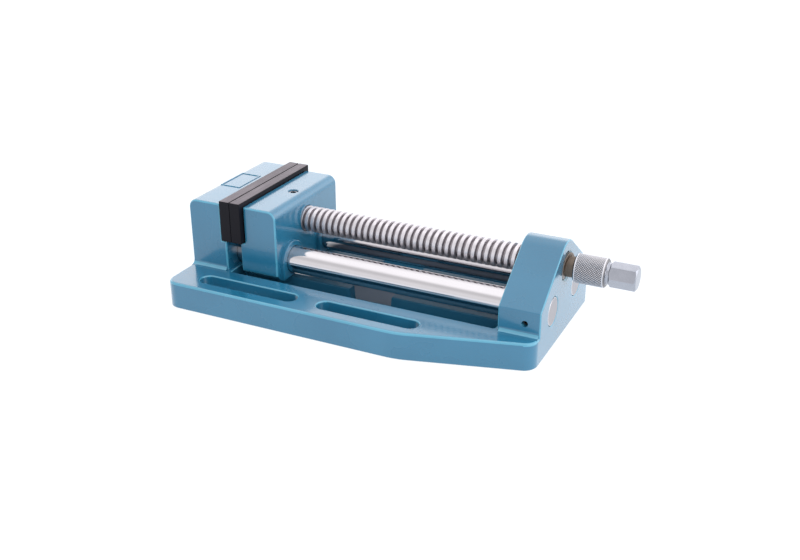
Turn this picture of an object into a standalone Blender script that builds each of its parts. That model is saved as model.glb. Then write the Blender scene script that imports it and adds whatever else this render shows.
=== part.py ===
"""Drill-press machine vise with two guide rods, jaws closed.

Frame: metres, +X along the lead screw from the fixed jaw to the hexagon drive, +Z up.
The origin is on the machined underside, midway between the vise's two ends.
Sizes below are measured along X from the plane where the two jaw plates meet.
"""

import math

import bmesh
import bpy
from mathutils import Vector

# ---- placement -------------------------------------------------------------
GRIP_X = -0.12725           # plane where the jaw plates meet, in the part frame
GAP = 0.0003                # clearance between pieces that touch

# ---- base casting ----------------------------------------------------------
BASE_X0 = -0.0365           # plane end at the fixed jaw
BASE_X1 = 0.2417            # plane end at the bridge
BASE_HALF_Y = 0.0862        # half width of the wide part
BASE_END_HALF_Y = 0.0618    # half width the taper reaches at the bridge end
BASE_BEND_X = 0.1520        # where the taper begins
BASE_T = 0.0203             # flange thickness
BASE_EDGE_R = 0.0020        # rounding of the flange's top edge
CORNER_R = 0.0100           # plan radius at the fixed jaw end
END_CORNER_R = 0.0100       # plan radius at the bridge end
BEND_R = 0.0600             # plan radius of the bend

SLOT_R = 0.00635            # half width of the clamp slots
SLOT_Y = 0.0697             # slot centre line
SLOT_A = (-0.0085, 0.0602)  # centres of the first slot's round ends
SLOT_B = (0.0900, 0.1553)   # centres of the second slot's round ends

WINDOW = (-0.0015, 0.2095)  # open bed between the two flanges
WINDOW_HALF_Y = 0.0510
RIB_Y = (0.0220, 0.0290)    # inner and outer side of each bed rib
RIB_TOP = 0.0150
TRENCH_FLOOR = 0.0040       # web that carries the rib
NOTCH = (0.0885, 0.1208)    # gap in the ribs
NOTCH_FLOOR = 0.0043

# ---- fixed jaw -------------------------------------------------------------
JAW_SEAT = 0.00905          # both jaws: seat behind the plate
JAW_LEDGE = 0.0051          # both jaws: face under the plate
LEDGE_Z = 0.0433            # ledge the plate stands on
FIXED_HALF_Y = 0.0493
FIXED_TOP = 0.0724
FIXED_ROUND = 0.0065
FOOT_R = 0.0034             # fillet where the jaw and the bridge meet the base
FRAME_X = (-0.0320, -0.0150)
FRAME_Y = (-0.0135, 0.0165)
FRAME_W = 0.0012
FRAME_H = 0.0005

# ---- jaw plates ------------------------------------------------------------
PLATE_HALF_Y = 0.0500
PLATE_T = 0.00875
PLATE_Z = (0.0436, 0.0751)
PLATE_EDGE = 0.0004
PLATE_SCREW_Y = 0.0300
PLATE_SCREW_Z = 0.0595
HEAD_R = 0.0050
HEAD_H = 0.0050
HEAD_DEPTH = 0.0058         # how far the head pocket goes into the plate
SHANK_R = 0.0030
SHANK_END = 0.0220          # distance from the grip plane to the screw's tip
TAP_END = 0.0232            # bottom of the tapped hole

# ---- moving jaw ------------------------------------------------------------
MOVING_HALF_Y = 0.0460
MOVING_TOP = 0.0716
MOVING_REAR = 0.0362
MOVING_ROUND = 0.0064
MOVING_SIDE_Z = 0.0202      # underside of the jaw's side
TONGUE_HALF_Y = 0.0407      # lower part between the flanges
TONGUE_Z = 0.0165
BOSS_REAR = 0.0392
BOSS_R = 0.0144

# ---- guide rods ------------------------------------------------------------
ROD_R = 0.0102
ROD_Y = 0.0262
ROD_Z = 0.0287
ROD_X = (-0.0290, 0.2417)
ROD_SEAT_X = -0.0295        # bottom of the blind bore in the fixed jaw
ROD_CHAMFER = 0.0006
LOCK_X = 0.2307             # rod lock screws in the bridge
LOCK_R = 0.0021
LOCK_RECESS = 0.0030

# ---- bridge ----------------------------------------------------------------
BRIDGE_X = (0.2115, 0.2417)
BRIDGE_HALF_Y = 0.0520
BRIDGE_SHOULDER_Z = 0.0378
DOME_R = 0.0186

# ---- lead screw ------------------------------------------------------------
SCREW_Z = 0.0518
SCREW_R = 0.00973
CORE_R = 0.00735
PITCH = 0.0050
TURNS = 42
CREST = 0.0021              # crest width along the axis
FLANK = 0.00065             # axial length of one flank
THREAD_X0 = 0.03126
TAIL_X = 0.2476             # shoulder at the inner end of the drive sleeve
NOSE_X = 0.0175
GROOVE = (0.0222, 0.0268)   # annular groove for the dog screw
GROOVE_R = 0.0070
RELIEF_X = 0.0298
TENON_R = 0.0062            # turned end inside the drive sleeve
TENON_END = 0.2845
STEPS = 18                  # facets round the screw
PHASE = 5.0                 # degrees, sets the hexagon's rest angle

# ---- drive sleeve ----------------------------------------------------------
SLEEVE_X = (0.2480, 0.2700)
SLEEVE_R = 0.01035
NECK_R = 0.0075
HEX_X = (0.2725, 0.2910)
HEX_CORNER = 0.0091
SLEEVE_BORE_R = 0.0066
SLEEVE_BORE_END = 0.2850
SLEEVE_PIN_X = 0.2590
SLEEVE_PIN_R = 0.0015
SLEEVE_PIN_Y = (-0.0040, 0.0096)  # blind pin, driven in from the far side

# ---- jaw internals ---------------------------------------------------------
SCREW_BORE_R = 0.01025      # bore in the moving jaw
SCREW_BORE_END = 0.0140
BUTTON_R = 0.0085
BUTTON_T = 0.0029
DOG_X = 0.0245
DOG_R = 0.0036
DOG_TIP_R = 0.0020
DOG_Z = (0.0593, 0.0655)
DOG_LOCK_Z = (0.0658, 0.0706)

# ---- spindle nut -----------------------------------------------------------
NUT_X = (0.2120, 0.2350)
NUT_R = 0.0130
NUT_BORE_R = 0.01015
NUT_SEAT_R = 0.0133
NUT_SEAT_END = 0.2353
BRIDGE_BORE_R = 0.01025
KEY_R = 0.0016
KEY_END = 0.2240

ROUND = 32                  # facets of the large bores
BLOCK_R = 0.0011            # rounding of the cast blocks' end edges


def new_collection(name):
    coll = bpy.data.collections.new(name)
    bpy.context.scene.collection.children.link(coll)
    return coll


def clear_scene():
    for obj in list(bpy.data.objects):
        bpy.data.objects.remove(obj, do_unlink=True)


def make_material(name, colour, metallic, roughness):
    mat = bpy.data.materials.new(name)
    mat.use_nodes = True
    bsdf = mat.node_tree.nodes["Principled BSDF"]
    bsdf.inputs["Base Color"].default_value = (colour[0], colour[1], colour[2], 1.0)
    bsdf.inputs["Metallic"].default_value = metallic
    bsdf.inputs["Roughness"].default_value = roughness
    return mat


def to_object(bm, name, coll):
    """Shift the mesh from the grip plane to the part frame and make an object."""
    bmesh.ops.recalc_face_normals(bm, faces=bm.faces)
    for vert in bm.verts:
        vert.co.x += GRIP_X
    mesh = bpy.data.meshes.new(name)
    bm.to_mesh(mesh)
    bm.free()
    obj = bpy.data.objects.new(name, mesh)
    coll.objects.link(obj)
    return obj


def part(bm, name, mat):
    obj = to_object(bm, name, PARTS)
    obj.data.materials.append(mat)
    return obj


def helper(bm, name):
    obj = to_object(bm, name, HELPERS)
    obj.hide_render = True
    obj.display_type = "WIRE"
    return obj


def apply_helper(obj, other, operation):
    mod = obj.modifiers.new(other.name, "BOOLEAN")
    mod.operation = operation
    mod.solver = "EXACT"
    mod.object = other


def cut(obj, other):
    apply_helper(obj, other, "DIFFERENCE")


def add(obj, other):
    apply_helper(obj, other, "UNION")


def arc(cx, cy, r, a0, a1, steps):
    """Points on an arc, angles in degrees, both ends included."""
    points = []
    for i in range(steps + 1):
        a = math.radians(a0 + (a1 - a0) * i / steps)
        points.append((cx + r * math.cos(a), cy + r * math.sin(a)))
    return points


def loft(rings):
    """Closed solid through rings of equal length, ends capped."""
    bm = bmesh.new()
    made = [[bm.verts.new(co) for co in ring] for ring in rings]
    count = len(made[0])
    for low, high in zip(made, made[1:]):
        for i in range(count):
            j = (i + 1) % count
            bm.faces.new((low[i], low[j], high[j], high[i]))
    bm.faces.new(made[0])
    bm.faces.new(made[-1])
    return bm


def along_x(y, z, x):
    return Vector((x, y, z))


def along_y(x, z, y):
    return Vector((x, y, z))


def prism_x(outline, x0, x1):
    """Outline of (y, z) points pushed from x0 to x1."""
    return loft([[Vector((x, y, z)) for y, z in outline] for x in (x0, x1)])


def prism_y(outline, y0, y1):
    """Outline of (x, z) points pushed from y0 to y1."""
    return loft([[Vector((x, y, z)) for x, z in outline] for y in (y0, y1)])


def prism_z(outline, z0, z1):
    """Outline of (x, y) points pushed from z0 to z1."""
    return loft([[Vector((x, y, z)) for x, y in outline] for z in (z0, z1)])


def box(x0, x1, y0, y1, z0, z1):
    return prism_z([(x0, y0), (x1, y0), (x1, y1), (x0, y1)], z0, z1)


def turned_x(profile, y, z, steps):
    """Solid of revolution about a line along X; profile is (x, radius) pairs."""
    rings = []
    for x, r in profile:
        ring = []
        for i in range(steps):
            a = 2.0 * math.pi * i / steps
            ring.append(Vector((x, y + r * math.cos(a), z + r * math.sin(a))))
        rings.append(ring)
    return loft(rings)


def turned_y(profile, x, z, steps):
    """Solid of revolution about a line along Y; profile is (y, radius) pairs."""
    rings = []
    for y, r in profile:
        ring = []
        for i in range(steps):
            a = 2.0 * math.pi * i / steps
            ring.append(Vector((x + r * math.cos(a), y, z + r * math.sin(a))))
        rings.append(ring)
    return loft(rings)


def turned_z(profile, x, y, steps):
    """Solid of revolution about a line along Z; profile is (z, radius) pairs."""
    rings = []
    for z, r in profile:
        ring = []
        for i in range(steps):
            a = 2.0 * math.pi * i / steps
            ring.append(Vector((x + r * math.cos(a), y + r * math.sin(a), z)))
        rings.append(ring)
    return loft(rings)


def rounded_ends(outline, a, b, r, place):
    """Push a counter-clockwise outline from a to b with both ends rounded by r."""
    rings = []
    for angle in (0.0, 45.0, 90.0):
        t = math.radians(angle)
        rings.append((a + r * (1.0 - math.sin(t)), r * (1.0 - math.cos(t))))
    for angle in (90.0, 45.0, 0.0):
        t = math.radians(angle)
        rings.append((b - r * (1.0 - math.sin(t)), r * (1.0 - math.cos(t))))
    rings = sorted(rings)
    made = []
    for w, d in rings:
        ring = inset(outline, d) if d > 1e-7 else outline
        made.append([place(u, v, w) for u, v in ring])
    return loft(made)


def round_corner(before, corner, after, r, steps):
    """Arc points that round one corner of a polygon."""
    c = Vector(corner)
    u = (Vector(before) - c).normalized()
    v = (Vector(after) - c).normalized()
    half = u.angle(v) / 2.0
    centre = c + (u + v).normalized() * (r / math.sin(half))
    start = c + u * (r / math.tan(half)) - centre
    end = c + v * (r / math.tan(half)) - centre
    turn = start.angle_signed(end)
    points = []
    for i in range(steps + 1):
        a = -turn * i / steps
        x = start.x * math.cos(a) - start.y * math.sin(a)
        y = start.x * math.sin(a) + start.y * math.cos(a)
        points.append((centre.x + x, centre.y + y))
    return points


def base_plan():
    """Plan outline of the flanges, counter-clockwise from above."""
    corners = [
        ((BASE_X0, -BASE_HALF_Y), CORNER_R, 4),
        ((BASE_BEND_X, -BASE_HALF_Y), BEND_R, 4),
        ((BASE_X1, -BASE_END_HALF_Y), END_CORNER_R, 5),
        ((BASE_X1, BASE_END_HALF_Y), END_CORNER_R, 5),
        ((BASE_BEND_X, BASE_HALF_Y), BEND_R, 4),
        ((BASE_X0, BASE_HALF_Y), CORNER_R, 4),
    ]
    plan = []
    for i, (corner, r, steps) in enumerate(corners):
        before = corners[i - 1][0]
        after = corners[(i + 1) % len(corners)][0]
        plan += round_corner(before, corner, after, r, steps)
    return plan


def inset(outline, d):
    """Move every side of a counter-clockwise outline inwards by d."""
    moved = []
    count = len(outline)
    for i in range(count):
        p = Vector(outline[i - 1])
        c = Vector(outline[i])
        n = Vector(outline[(i + 1) % count])
        a = (c - p).normalized()
        b = (n - c).normalized()
        na = Vector((-a.y, a.x))
        nb = Vector((-b.y, b.x))
        mid = (na + nb).normalized()
        moved.append(c + mid * (d / mid.dot(na)))
    return [(v.x, v.y) for v in moved]


def flange_body():
    plan = base_plan()
    levels = [(0.0, 0.0)]
    for a in (0.0, 30.0, 60.0, 90.0):
        drop = BASE_EDGE_R * (1.0 - math.sin(math.radians(a)))
        side = BASE_EDGE_R * (1.0 - math.cos(math.radians(a)))
        levels.append((BASE_T - drop, side))
    rings = []
    for z, d in levels:
        ring = inset(plan, d) if d > 0.0 else plan
        rings.append([Vector((x, y, z)) for x, y in ring])
    return loft(rings)


def fixed_jaw_block():
    low = 0.0080
    outline = [(BASE_X0, low), (-JAW_LEDGE, low)]
    outline += [(-JAW_LEDGE, LEDGE_Z), (-JAW_SEAT, LEDGE_Z), (-JAW_SEAT, FIXED_TOP)]
    cx = BASE_X0 + FIXED_ROUND
    outline += arc(cx, FIXED_TOP - FIXED_ROUND, FIXED_ROUND, 90.0, 180.0, 5)
    return rounded_ends(outline, -FIXED_HALF_Y, FIXED_HALF_Y, BLOCK_R, along_y)


def foot_fillet(x0, x1, half_y, side):
    """Concave fillet along one side of the fixed jaw or the bridge."""
    inner = half_y - 0.0030
    z = BASE_T
    outline = [(side * inner, z - 0.0040), (side * (half_y + FOOT_R), z - 0.0040)]
    curve = arc(half_y + FOOT_R, z + FOOT_R, FOOT_R, 270.0, 180.0, 5)
    outline += [(side * y, zz) for y, zz in curve]
    outline += [(side * inner, z + FOOT_R)]
    return prism_x(outline, x0, x1)


def bridge_outline():
    """Section of the bridge: dome round the screw and sloping shoulders."""
    rise = SCREW_Z - BRIDGE_SHOULDER_Z
    reach = math.hypot(BRIDGE_HALF_Y, rise)
    slope = math.atan2(rise, BRIDGE_HALF_Y) + math.asin(DOME_R / reach)
    tangent = 90.0 - math.degrees(slope)
    outline = [(-BRIDGE_HALF_Y, 0.0080), (BRIDGE_HALF_Y, 0.0080)]
    outline += [(BRIDGE_HALF_Y, BRIDGE_SHOULDER_Z)]
    outline += arc(0.0, SCREW_Z, DOME_R, tangent, 180.0 - tangent, 10)
    outline += [(-BRIDGE_HALF_Y, BRIDGE_SHOULDER_Z)]
    return outline


def bridge_block():
    return rounded_ends(bridge_outline(), BRIDGE_X[0], BRIDGE_X[1], BLOCK_R, along_x)


def window_cutter():
    y0, y1 = RIB_Y
    top = BASE_T + 0.0040
    right = [(y0, -0.0020), (y0, RIB_TOP), (y1, RIB_TOP)]
    right += [(y1, TRENCH_FLOOR), (WINDOW_HALF_Y, TRENCH_FLOOR), (WINDOW_HALF_Y, top)]
    left = [(-y, z) for y, z in reversed(right)]
    return prism_x(right + left, WINDOW[0], WINDOW[1])


def notch_cutter(side):
    y0 = side * (RIB_Y[0] - 0.0005)
    y1 = side * (RIB_Y[1] + 0.0005)
    low = min(y0, y1)
    high = max(y0, y1)
    return box(NOTCH[0], NOTCH[1], low, high, NOTCH_FLOOR, RIB_TOP + 0.0010)


def slot_cutter(ends, side):
    y = side * SLOT_Y
    outline = arc(ends[1], y, SLOT_R, -90.0, 90.0, 8)
    outline += arc(ends[0], y, SLOT_R, 90.0, 270.0, 8)
    return prism_z(outline, -0.0020, BASE_T + 0.0020)


def bore_x(x0, x1, y, z, r, steps=ROUND):
    return turned_x([(x0, r), (x1, r)], y, z, steps)


def build_base():
    base = part(flange_body(), "base_casting", PAINT)
    cut(base, helper(window_cutter(), "h_window"))
    for side, tag in ((-1.0, "near"), (1.0, "far")):
        cut(base, helper(notch_cutter(side), "h_notch_" + tag))
        cut(base, helper(slot_cutter(SLOT_A, side), "h_slot_a_" + tag))
        cut(base, helper(slot_cutter(SLOT_B, side), "h_slot_b_" + tag))
    add(base, helper(fixed_jaw_block(), "h_fixed_jaw"))
    add(base, helper(bridge_block(), "h_bridge"))
    for side, tag in ((-1.0, "near"), (1.0, "far")):
        jaw_foot = foot_fillet(BASE_X0 + 0.0008, -JAW_LEDGE - 0.0012, FIXED_HALF_Y, side)
        add(base, helper(jaw_foot, "h_jaw_foot_" + tag))
        bridge_foot = foot_fillet(BRIDGE_X[0] + 0.0016, BRIDGE_X[1] - 0.0009, BRIDGE_HALF_Y, side)
        add(base, helper(bridge_foot, "h_bridge_foot_" + tag))
    for side, tag in ((-1.0, "near"), (1.0, "far")):
        rod = bore_x(ROD_SEAT_X, 0.0, side * ROD_Y, ROD_Z, ROD_R + 0.00035)
        cut(base, helper(rod, "h_rod_seat_" + tag))
        rod = bore_x(0.2080, 0.2450, side * ROD_Y, ROD_Z, ROD_R + 0.00035)
        cut(base, helper(rod, "h_rod_bore_" + tag))
        y0 = side * (ROD_Y + 0.0050)
        y1 = side * (BRIDGE_HALF_Y + 0.0020)
        r = LOCK_R + GAP
        lock = turned_y([(y0, r), (y1, r)], LOCK_X, ROD_Z, 16)
        cut(base, helper(lock, "h_lock_" + tag))
        tap = bore_x(-TAP_END, -0.0050, side * PLATE_SCREW_Y, PLATE_SCREW_Z, SHANK_R + GAP, 16)
        cut(base, helper(tap, "h_fixed_tap_" + tag))
    cut(base, helper(bore_x(0.2080, 0.2450, 0.0, SCREW_Z, BRIDGE_BORE_R), "h_screw_bore"))
    cut(base, helper(bore_x(0.2080, NUT_SEAT_END, 0.0, SCREW_Z, NUT_SEAT_R), "h_nut_seat"))
    key = bore_x(0.2080, KEY_END + GAP, NUT_R + 0.00015, SCREW_Z, KEY_R + GAP, 12)
    cut(base, helper(key, "h_key_base"))
    add_frame(base)
    return base


def add_frame(base):
    """Plain raised border on top of the fixed jaw."""
    x0, x1 = FRAME_X
    y0, y1 = FRAME_Y
    w = FRAME_W
    z0 = FIXED_TOP - 0.0010
    z1 = FIXED_TOP + FRAME_H
    outer = [(x0, y0), (x1, y0), (x1, y1), (x0, y1)]
    inner = [(x0 + w, y0 + w), (x1 - w, y0 + w), (x1 - w, y1 - w), (x0 + w, y1 - w)]
    rings = [[Vector((x, y, z)) for x, y in outer] for z in (z0, z1)]
    rings += [[Vector((x, y, z)) for x, y in inner] for z in (z1, z0)]
    bm = bmesh.new()
    made = [[bm.verts.new(co) for co in ring] for ring in rings]
    for k in range(4):
        low = made[k]
        high = made[(k + 1) % 4]
        for i in range(4):
            j = (i + 1) % 4
            bm.faces.new((low[i], low[j], high[j], high[i]))
    add(base, helper(bm, "h_frame"))


def build_plate(name, side):
    """Jaw plate; side is -1 on the fixed jaw and +1 on the moving jaw."""
    near = side * GAP / 2.0
    far = side * PLATE_T
    c = PLATE_EDGE
    x0 = min(near, far)
    x1 = max(near, far)
    z0, z1 = PLATE_Z
    outline = [(x0 + c, z0), (x1 - c, z0), (x1, z0 + c), (x1, z1 - c)]
    outline += [(x1 - c, z1), (x0 + c, z1), (x0, z1 - c), (x0, z0 + c)]
    plate = part(prism_y(outline, -PLATE_HALF_Y, PLATE_HALF_Y), name, PLATE_STEEL)
    for tag, y in (("near", -PLATE_SCREW_Y), ("far", PLATE_SCREW_Y)):
        z = PLATE_SCREW_Z
        a = -side * 0.0020
        b = side * (PLATE_T + 0.0020)
        through = bore_x(min(a, b), max(a, b), y, z, SHANK_R + GAP, 16)
        cut(plate, helper(through, "h_" + name + "_through_" + tag))
        b = side * HEAD_DEPTH
        pocket = bore_x(min(a, b), max(a, b), y, z, HEAD_R + GAP, 20)
        cut(plate, helper(pocket, "h_" + name + "_pocket_" + tag))
    return plate


def hexagon_x(x0, x1, y, z, across):
    r = across / math.sqrt(3.0)
    return turned_x([(x0, r), (x1, r)], y, z, 6)


def build_plate_screw(name, side, y):
    head = HEAD_DEPTH - GAP
    out = head - HEAD_H
    tip = SHANK_END
    c = 0.0006
    profile = [(side * out, HEAD_R - c), (side * (out + c), HEAD_R), (side * head, HEAD_R)]
    profile += [(side * head, SHANK_R), (side * (tip - c), SHANK_R)]
    profile += [(side * tip, SHANK_R - c)]
    screw = part(turned_x(profile, y, PLATE_SCREW_Z, 16), name, BLACK_STEEL)
    a = side * (out - 0.0010)
    b = side * (out + 0.0028)
    socket = hexagon_x(min(a, b), max(a, b), y, PLATE_SCREW_Z, 0.0050)
    cut(screw, helper(socket, "h_" + name))
    return screw


def moving_jaw_block():
    outline = [(JAW_LEDGE, MOVING_SIDE_Z), (MOVING_REAR, MOVING_SIDE_Z)]
    cx = MOVING_REAR - MOVING_ROUND
    outline += arc(cx, MOVING_TOP - MOVING_ROUND, MOVING_ROUND, 0.0, 90.0, 5)
    outline += [(JAW_SEAT, MOVING_TOP), (JAW_SEAT, LEDGE_Z), (JAW_LEDGE, LEDGE_Z)]
    return rounded_ends(outline, -MOVING_HALF_Y, MOVING_HALF_Y, BLOCK_R, along_y)


def tongue_outline():
    wide = MOVING_HALF_Y - 0.0012
    high = MOVING_SIDE_Z + 0.0020
    low = [(-TONGUE_HALF_Y, TONGUE_Z), (TONGUE_HALF_Y, TONGUE_Z)]
    return low + [(wide, MOVING_SIDE_Z), (wide, high), (-wide, high), (-wide, MOVING_SIDE_Z)]


def boss_outline(side):
    y = ROD_Y
    outline = [(y - BOSS_R, TONGUE_Z), (y + BOSS_R, TONGUE_Z)]
    outline += arc(y, ROD_Z, BOSS_R, 0.0, 180.0, 12)
    return [(side * a, z) for a, z in outline]


def build_moving_jaw():
    jaw = part(moving_jaw_block(), "moving_jaw", PAINT)
    tongue = prism_x(tongue_outline(), JAW_LEDGE + 0.0003, MOVING_REAR - 0.0003)
    add(jaw, helper(tongue, "h_tongue"))
    for side, tag in ((-1.0, "near"), (1.0, "far")):
        boss = prism_x(boss_outline(side), 0.0300, BOSS_REAR)
        add(jaw, helper(boss, "h_boss_" + tag))
    for side, tag in ((-1.0, "near"), (1.0, "far")):
        bore = bore_x(0.0, 0.0450, side * ROD_Y, ROD_Z, ROD_R + 0.00035)
        cut(jaw, helper(bore, "h_jaw_rod_" + tag))
        tap = bore_x(0.0050, TAP_END, side * PLATE_SCREW_Y, PLATE_SCREW_Z, SHANK_R + GAP, 16)
        cut(jaw, helper(tap, "h_moving_tap_" + tag))
    bore = bore_x(SCREW_BORE_END, 0.0450, 0.0, SCREW_Z, SCREW_BORE_R)
    cut(jaw, helper(bore, "h_jaw_screw_bore"))
    r = DOG_R + GAP
    rim = 0.0007
    profile = [(SCREW_Z + 0.0040, r), (MOVING_TOP - rim, r)]
    profile += [(MOVING_TOP, r + rim), (MOVING_TOP + 0.0020, r + rim)]
    dog = turned_z(profile, DOG_X, 0.0, 20)
    cut(jaw, helper(dog, "h_dog"))
    return jaw


def build_rod(name, side):
    c = ROD_CHAMFER
    x0, x1 = ROD_X
    profile = [(x0, ROD_R - c), (x0 + c, ROD_R), (x1 - c, ROD_R), (x1, ROD_R - c)]
    return part(turned_x(profile, side * ROD_Y, ROD_Z, ROUND), name, CHROME)


def build_lock_screw(name, side):
    c = 0.0004
    outer = BRIDGE_HALF_Y - LOCK_RECESS
    inner = ROD_Y + ROD_R + GAP
    profile = [(side * inner, LOCK_R - 0.0008), (side * (inner + 0.0008), LOCK_R)]
    profile += [(side * (outer - c), LOCK_R), (side * outer, LOCK_R - c)]
    screw = part(turned_y(profile, LOCK_X, ROD_Z, 16), name, BLACK_STEEL)
    r = 0.0022 / math.sqrt(3.0)
    a = side * (outer - 0.0022)
    b = side * (outer + 0.0010)
    socket = turned_y([(min(a, b), r), (max(a, b), r)], LOCK_X, ROD_Z, 6)
    cut(screw, helper(socket, "h_" + name))
    return screw


def ring_at(bm, x, r):
    """One ring of the lead screw's facets."""
    ring = []
    for i in range(STEPS):
        a = math.radians(PHASE - 360.0 * i / STEPS)
        ring.append(bm.verts.new((x, r * math.cos(a), SCREW_Z + r * math.sin(a))))
    return ring


def join_rings(bm, low, high):
    count = len(low)
    for i in range(count):
        j = (i + 1) % count
        bm.faces.new((low[i], low[j], high[j], high[i]))


def thread_columns(bm):
    """Vertices of the left-hand thread: one column of profile points per facet."""
    profile = [(0.0, CORE_R), (FLANK, SCREW_R), (FLANK + CREST, SCREW_R)]
    profile += [(2.0 * FLANK + CREST, CORE_R)]
    columns = []
    for i in range(STEPS):
        a = math.radians(PHASE - 360.0 * i / STEPS)
        lead = PITCH * i / STEPS
        column = []
        for turn in range(TURNS):
            for dx, r in profile:
                x = THREAD_X0 + lead + turn * PITCH + dx
                column.append(bm.verts.new((x, r * math.cos(a), SCREW_Z + r * math.sin(a))))
        columns.append(column)
    return columns


def thread_faces(bm, columns, start, end):
    """Skin the thread and join it to the plain rings at its two ends."""
    last = len(columns[0]) - 1
    for i in range(STEPS - 1):
        a = columns[i]
        b = columns[i + 1]
        for k in range(last):
            bm.faces.new((a[k], b[k], b[k + 1], a[k + 1]))
        bm.faces.new((start[i], start[i + 1], b[0], a[0]))
        bm.faces.new((a[last], b[last], end[i + 1], end[i]))
    a = columns[STEPS - 1]
    b = columns[0]
    for k in range(last - 4):
        bm.faces.new((a[k], b[k + 4], b[k + 5], a[k + 1]))
    bm.faces.new((b[0], b[1], b[2], b[3]))
    bm.faces.new((start[STEPS - 1], start[0], b[0], b[3], b[4], a[0]))
    bm.faces.new((a[last - 3], a[last - 2], a[last - 1], a[last]))
    bm.faces.new((b[last], end[0], end[STEPS - 1], a[last], a[last - 3], a[last - 4]))


def build_lead_screw():
    bm = bmesh.new()
    c = 0.0008
    front = [(NOSE_X, SCREW_R - c), (NOSE_X + c, SCREW_R), (GROOVE[0], SCREW_R)]
    front += [(GROOVE[0], GROOVE_R), (GROOVE[1], GROOVE_R), (GROOVE[1], SCREW_R)]
    front += [(RELIEF_X, SCREW_R), (RELIEF_X + 0.0012, CORE_R)]
    rings = [ring_at(bm, x, r) for x, r in front]
    for low, high in zip(rings, rings[1:]):
        join_rings(bm, low, high)
    bm.faces.new(rings[0])
    back = [(TAIL_X, CORE_R), (TAIL_X, TENON_R), (TENON_END - c, TENON_R)]
    back += [(TENON_END, TENON_R - c)]
    tail = [ring_at(bm, x, r) for x, r in back]
    for low, high in zip(tail, tail[1:]):
        join_rings(bm, low, high)
    bm.faces.new(tail[-1])
    thread_faces(bm, thread_columns(bm), rings[-1], tail[0])
    screw = part(bm, "lead_screw", SCREW_STEEL)
    pin = turned_y([(SLEEVE_PIN_Y[0] - GAP, SLEEVE_PIN_R + GAP), (0.0120, SLEEVE_PIN_R + GAP)],
                   SLEEVE_PIN_X, SCREW_Z, 12)
    cut(screw, helper(pin, "h_pin_screw"))
    return screw


def hex_ring(x, corner):
    """Points on a hexagon at the lead screw's facet angles."""
    ring = []
    flat = corner * math.cos(math.radians(30.0))
    for i in range(STEPS):
        a = 360.0 * i / STEPS
        local = math.radians(a % 60.0 - 30.0)
        r = flat / math.cos(local)
        b = math.radians(PHASE + a)
        ring.append(Vector((x, r * math.cos(b), SCREW_Z + r * math.sin(b))))
    return ring


def round_ring(x, r):
    ring = []
    for i in range(STEPS):
        a = math.radians(PHASE + 360.0 * i / STEPS)
        ring.append(Vector((x, r * math.cos(a), SCREW_Z + r * math.sin(a))))
    return ring


def build_sleeve():
    c = 0.0010
    x0, x1 = SLEEVE_X
    rings = [round_ring(x0, SLEEVE_R - c), round_ring(x0 + c, SLEEVE_R)]
    rings += [round_ring(x1 - c, SLEEVE_R), round_ring(x1, SLEEVE_R - c)]
    rings += [round_ring(x1, NECK_R), round_ring(HEX_X[0], NECK_R)]
    rings += [hex_ring(HEX_X[0], HEX_CORNER), hex_ring(HEX_X[1] - 0.0016, HEX_CORNER)]
    rings += [round_ring(HEX_X[1], 0.0070)]
    sleeve = part(loft(rings), "drive_sleeve", ZINC)
    end = SLEEVE_BORE_END
    profile = [(x0 - 0.0020, SLEEVE_BORE_R), (end, SLEEVE_BORE_R)]
    bore = turned_x(profile, 0.0, SCREW_Z, 24)
    cut(sleeve, helper(bore, "h_sleeve_bore"))
    pin = turned_y([(SLEEVE_PIN_Y[0] - GAP, SLEEVE_PIN_R + GAP), (0.0120, SLEEVE_PIN_R + GAP)],
                   SLEEVE_PIN_X, SCREW_Z, 12)
    cut(sleeve, helper(pin, "h_pin_sleeve"))
    return sleeve


def build_sleeve_pin():
    y0, y1 = SLEEVE_PIN_Y
    c = 0.0003
    r = SLEEVE_PIN_R
    profile = [(y0, r - c), (y0 + c, r), (y1 - c, r), (y1, r - c)]
    return part(turned_y(profile, SLEEVE_PIN_X, SCREW_Z, 12), "sleeve_pin", BLACK_STEEL)


def build_button():
    x0 = SCREW_BORE_END + GAP
    x1 = x0 + BUTTON_T
    c = 0.0005
    profile = [(x0, BUTTON_R - c), (x0 + c, BUTTON_R), (x1 - c, BUTTON_R)]
    profile += [(x1, BUTTON_R - 3.0 * c)]
    return part(turned_x(profile, 0.0, SCREW_Z, 24), "thrust_button", SCREW_STEEL)


def build_dog_screws():
    z0, z1 = DOG_Z
    c = 0.0004
    profile = [(z0, DOG_TIP_R), (z0 + 0.0022, DOG_TIP_R), (z0 + 0.0028, DOG_R)]
    profile += [(z1 - c, DOG_R), (z1, DOG_R - c)]
    dog = part(turned_z(profile, DOG_X, 0.0, 16), "dog_screw", BLACK_STEEL)
    r = 0.0030 / math.sqrt(3.0)
    socket = turned_z([(z1 - 0.0020, r), (z1 + 0.0010, r)], DOG_X, 0.0, 6)
    cut(dog, helper(socket, "h_dog_socket"))
    z0, z1 = DOG_LOCK_Z
    profile = [(z0, DOG_R - c), (z0 + c, DOG_R), (z1 - c, DOG_R), (z1, DOG_R - c)]
    lock = part(turned_z(profile, DOG_X, 0.0, 16), "dog_lock_screw", BLACK_STEEL)
    r = 0.0040 / math.sqrt(3.0)
    socket = turned_z([(z1 - 0.0025, r), (z1 + 0.0010, r)], DOG_X, 0.0, 6)
    cut(lock, helper(socket, "h_dog_lock_socket"))


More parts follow.
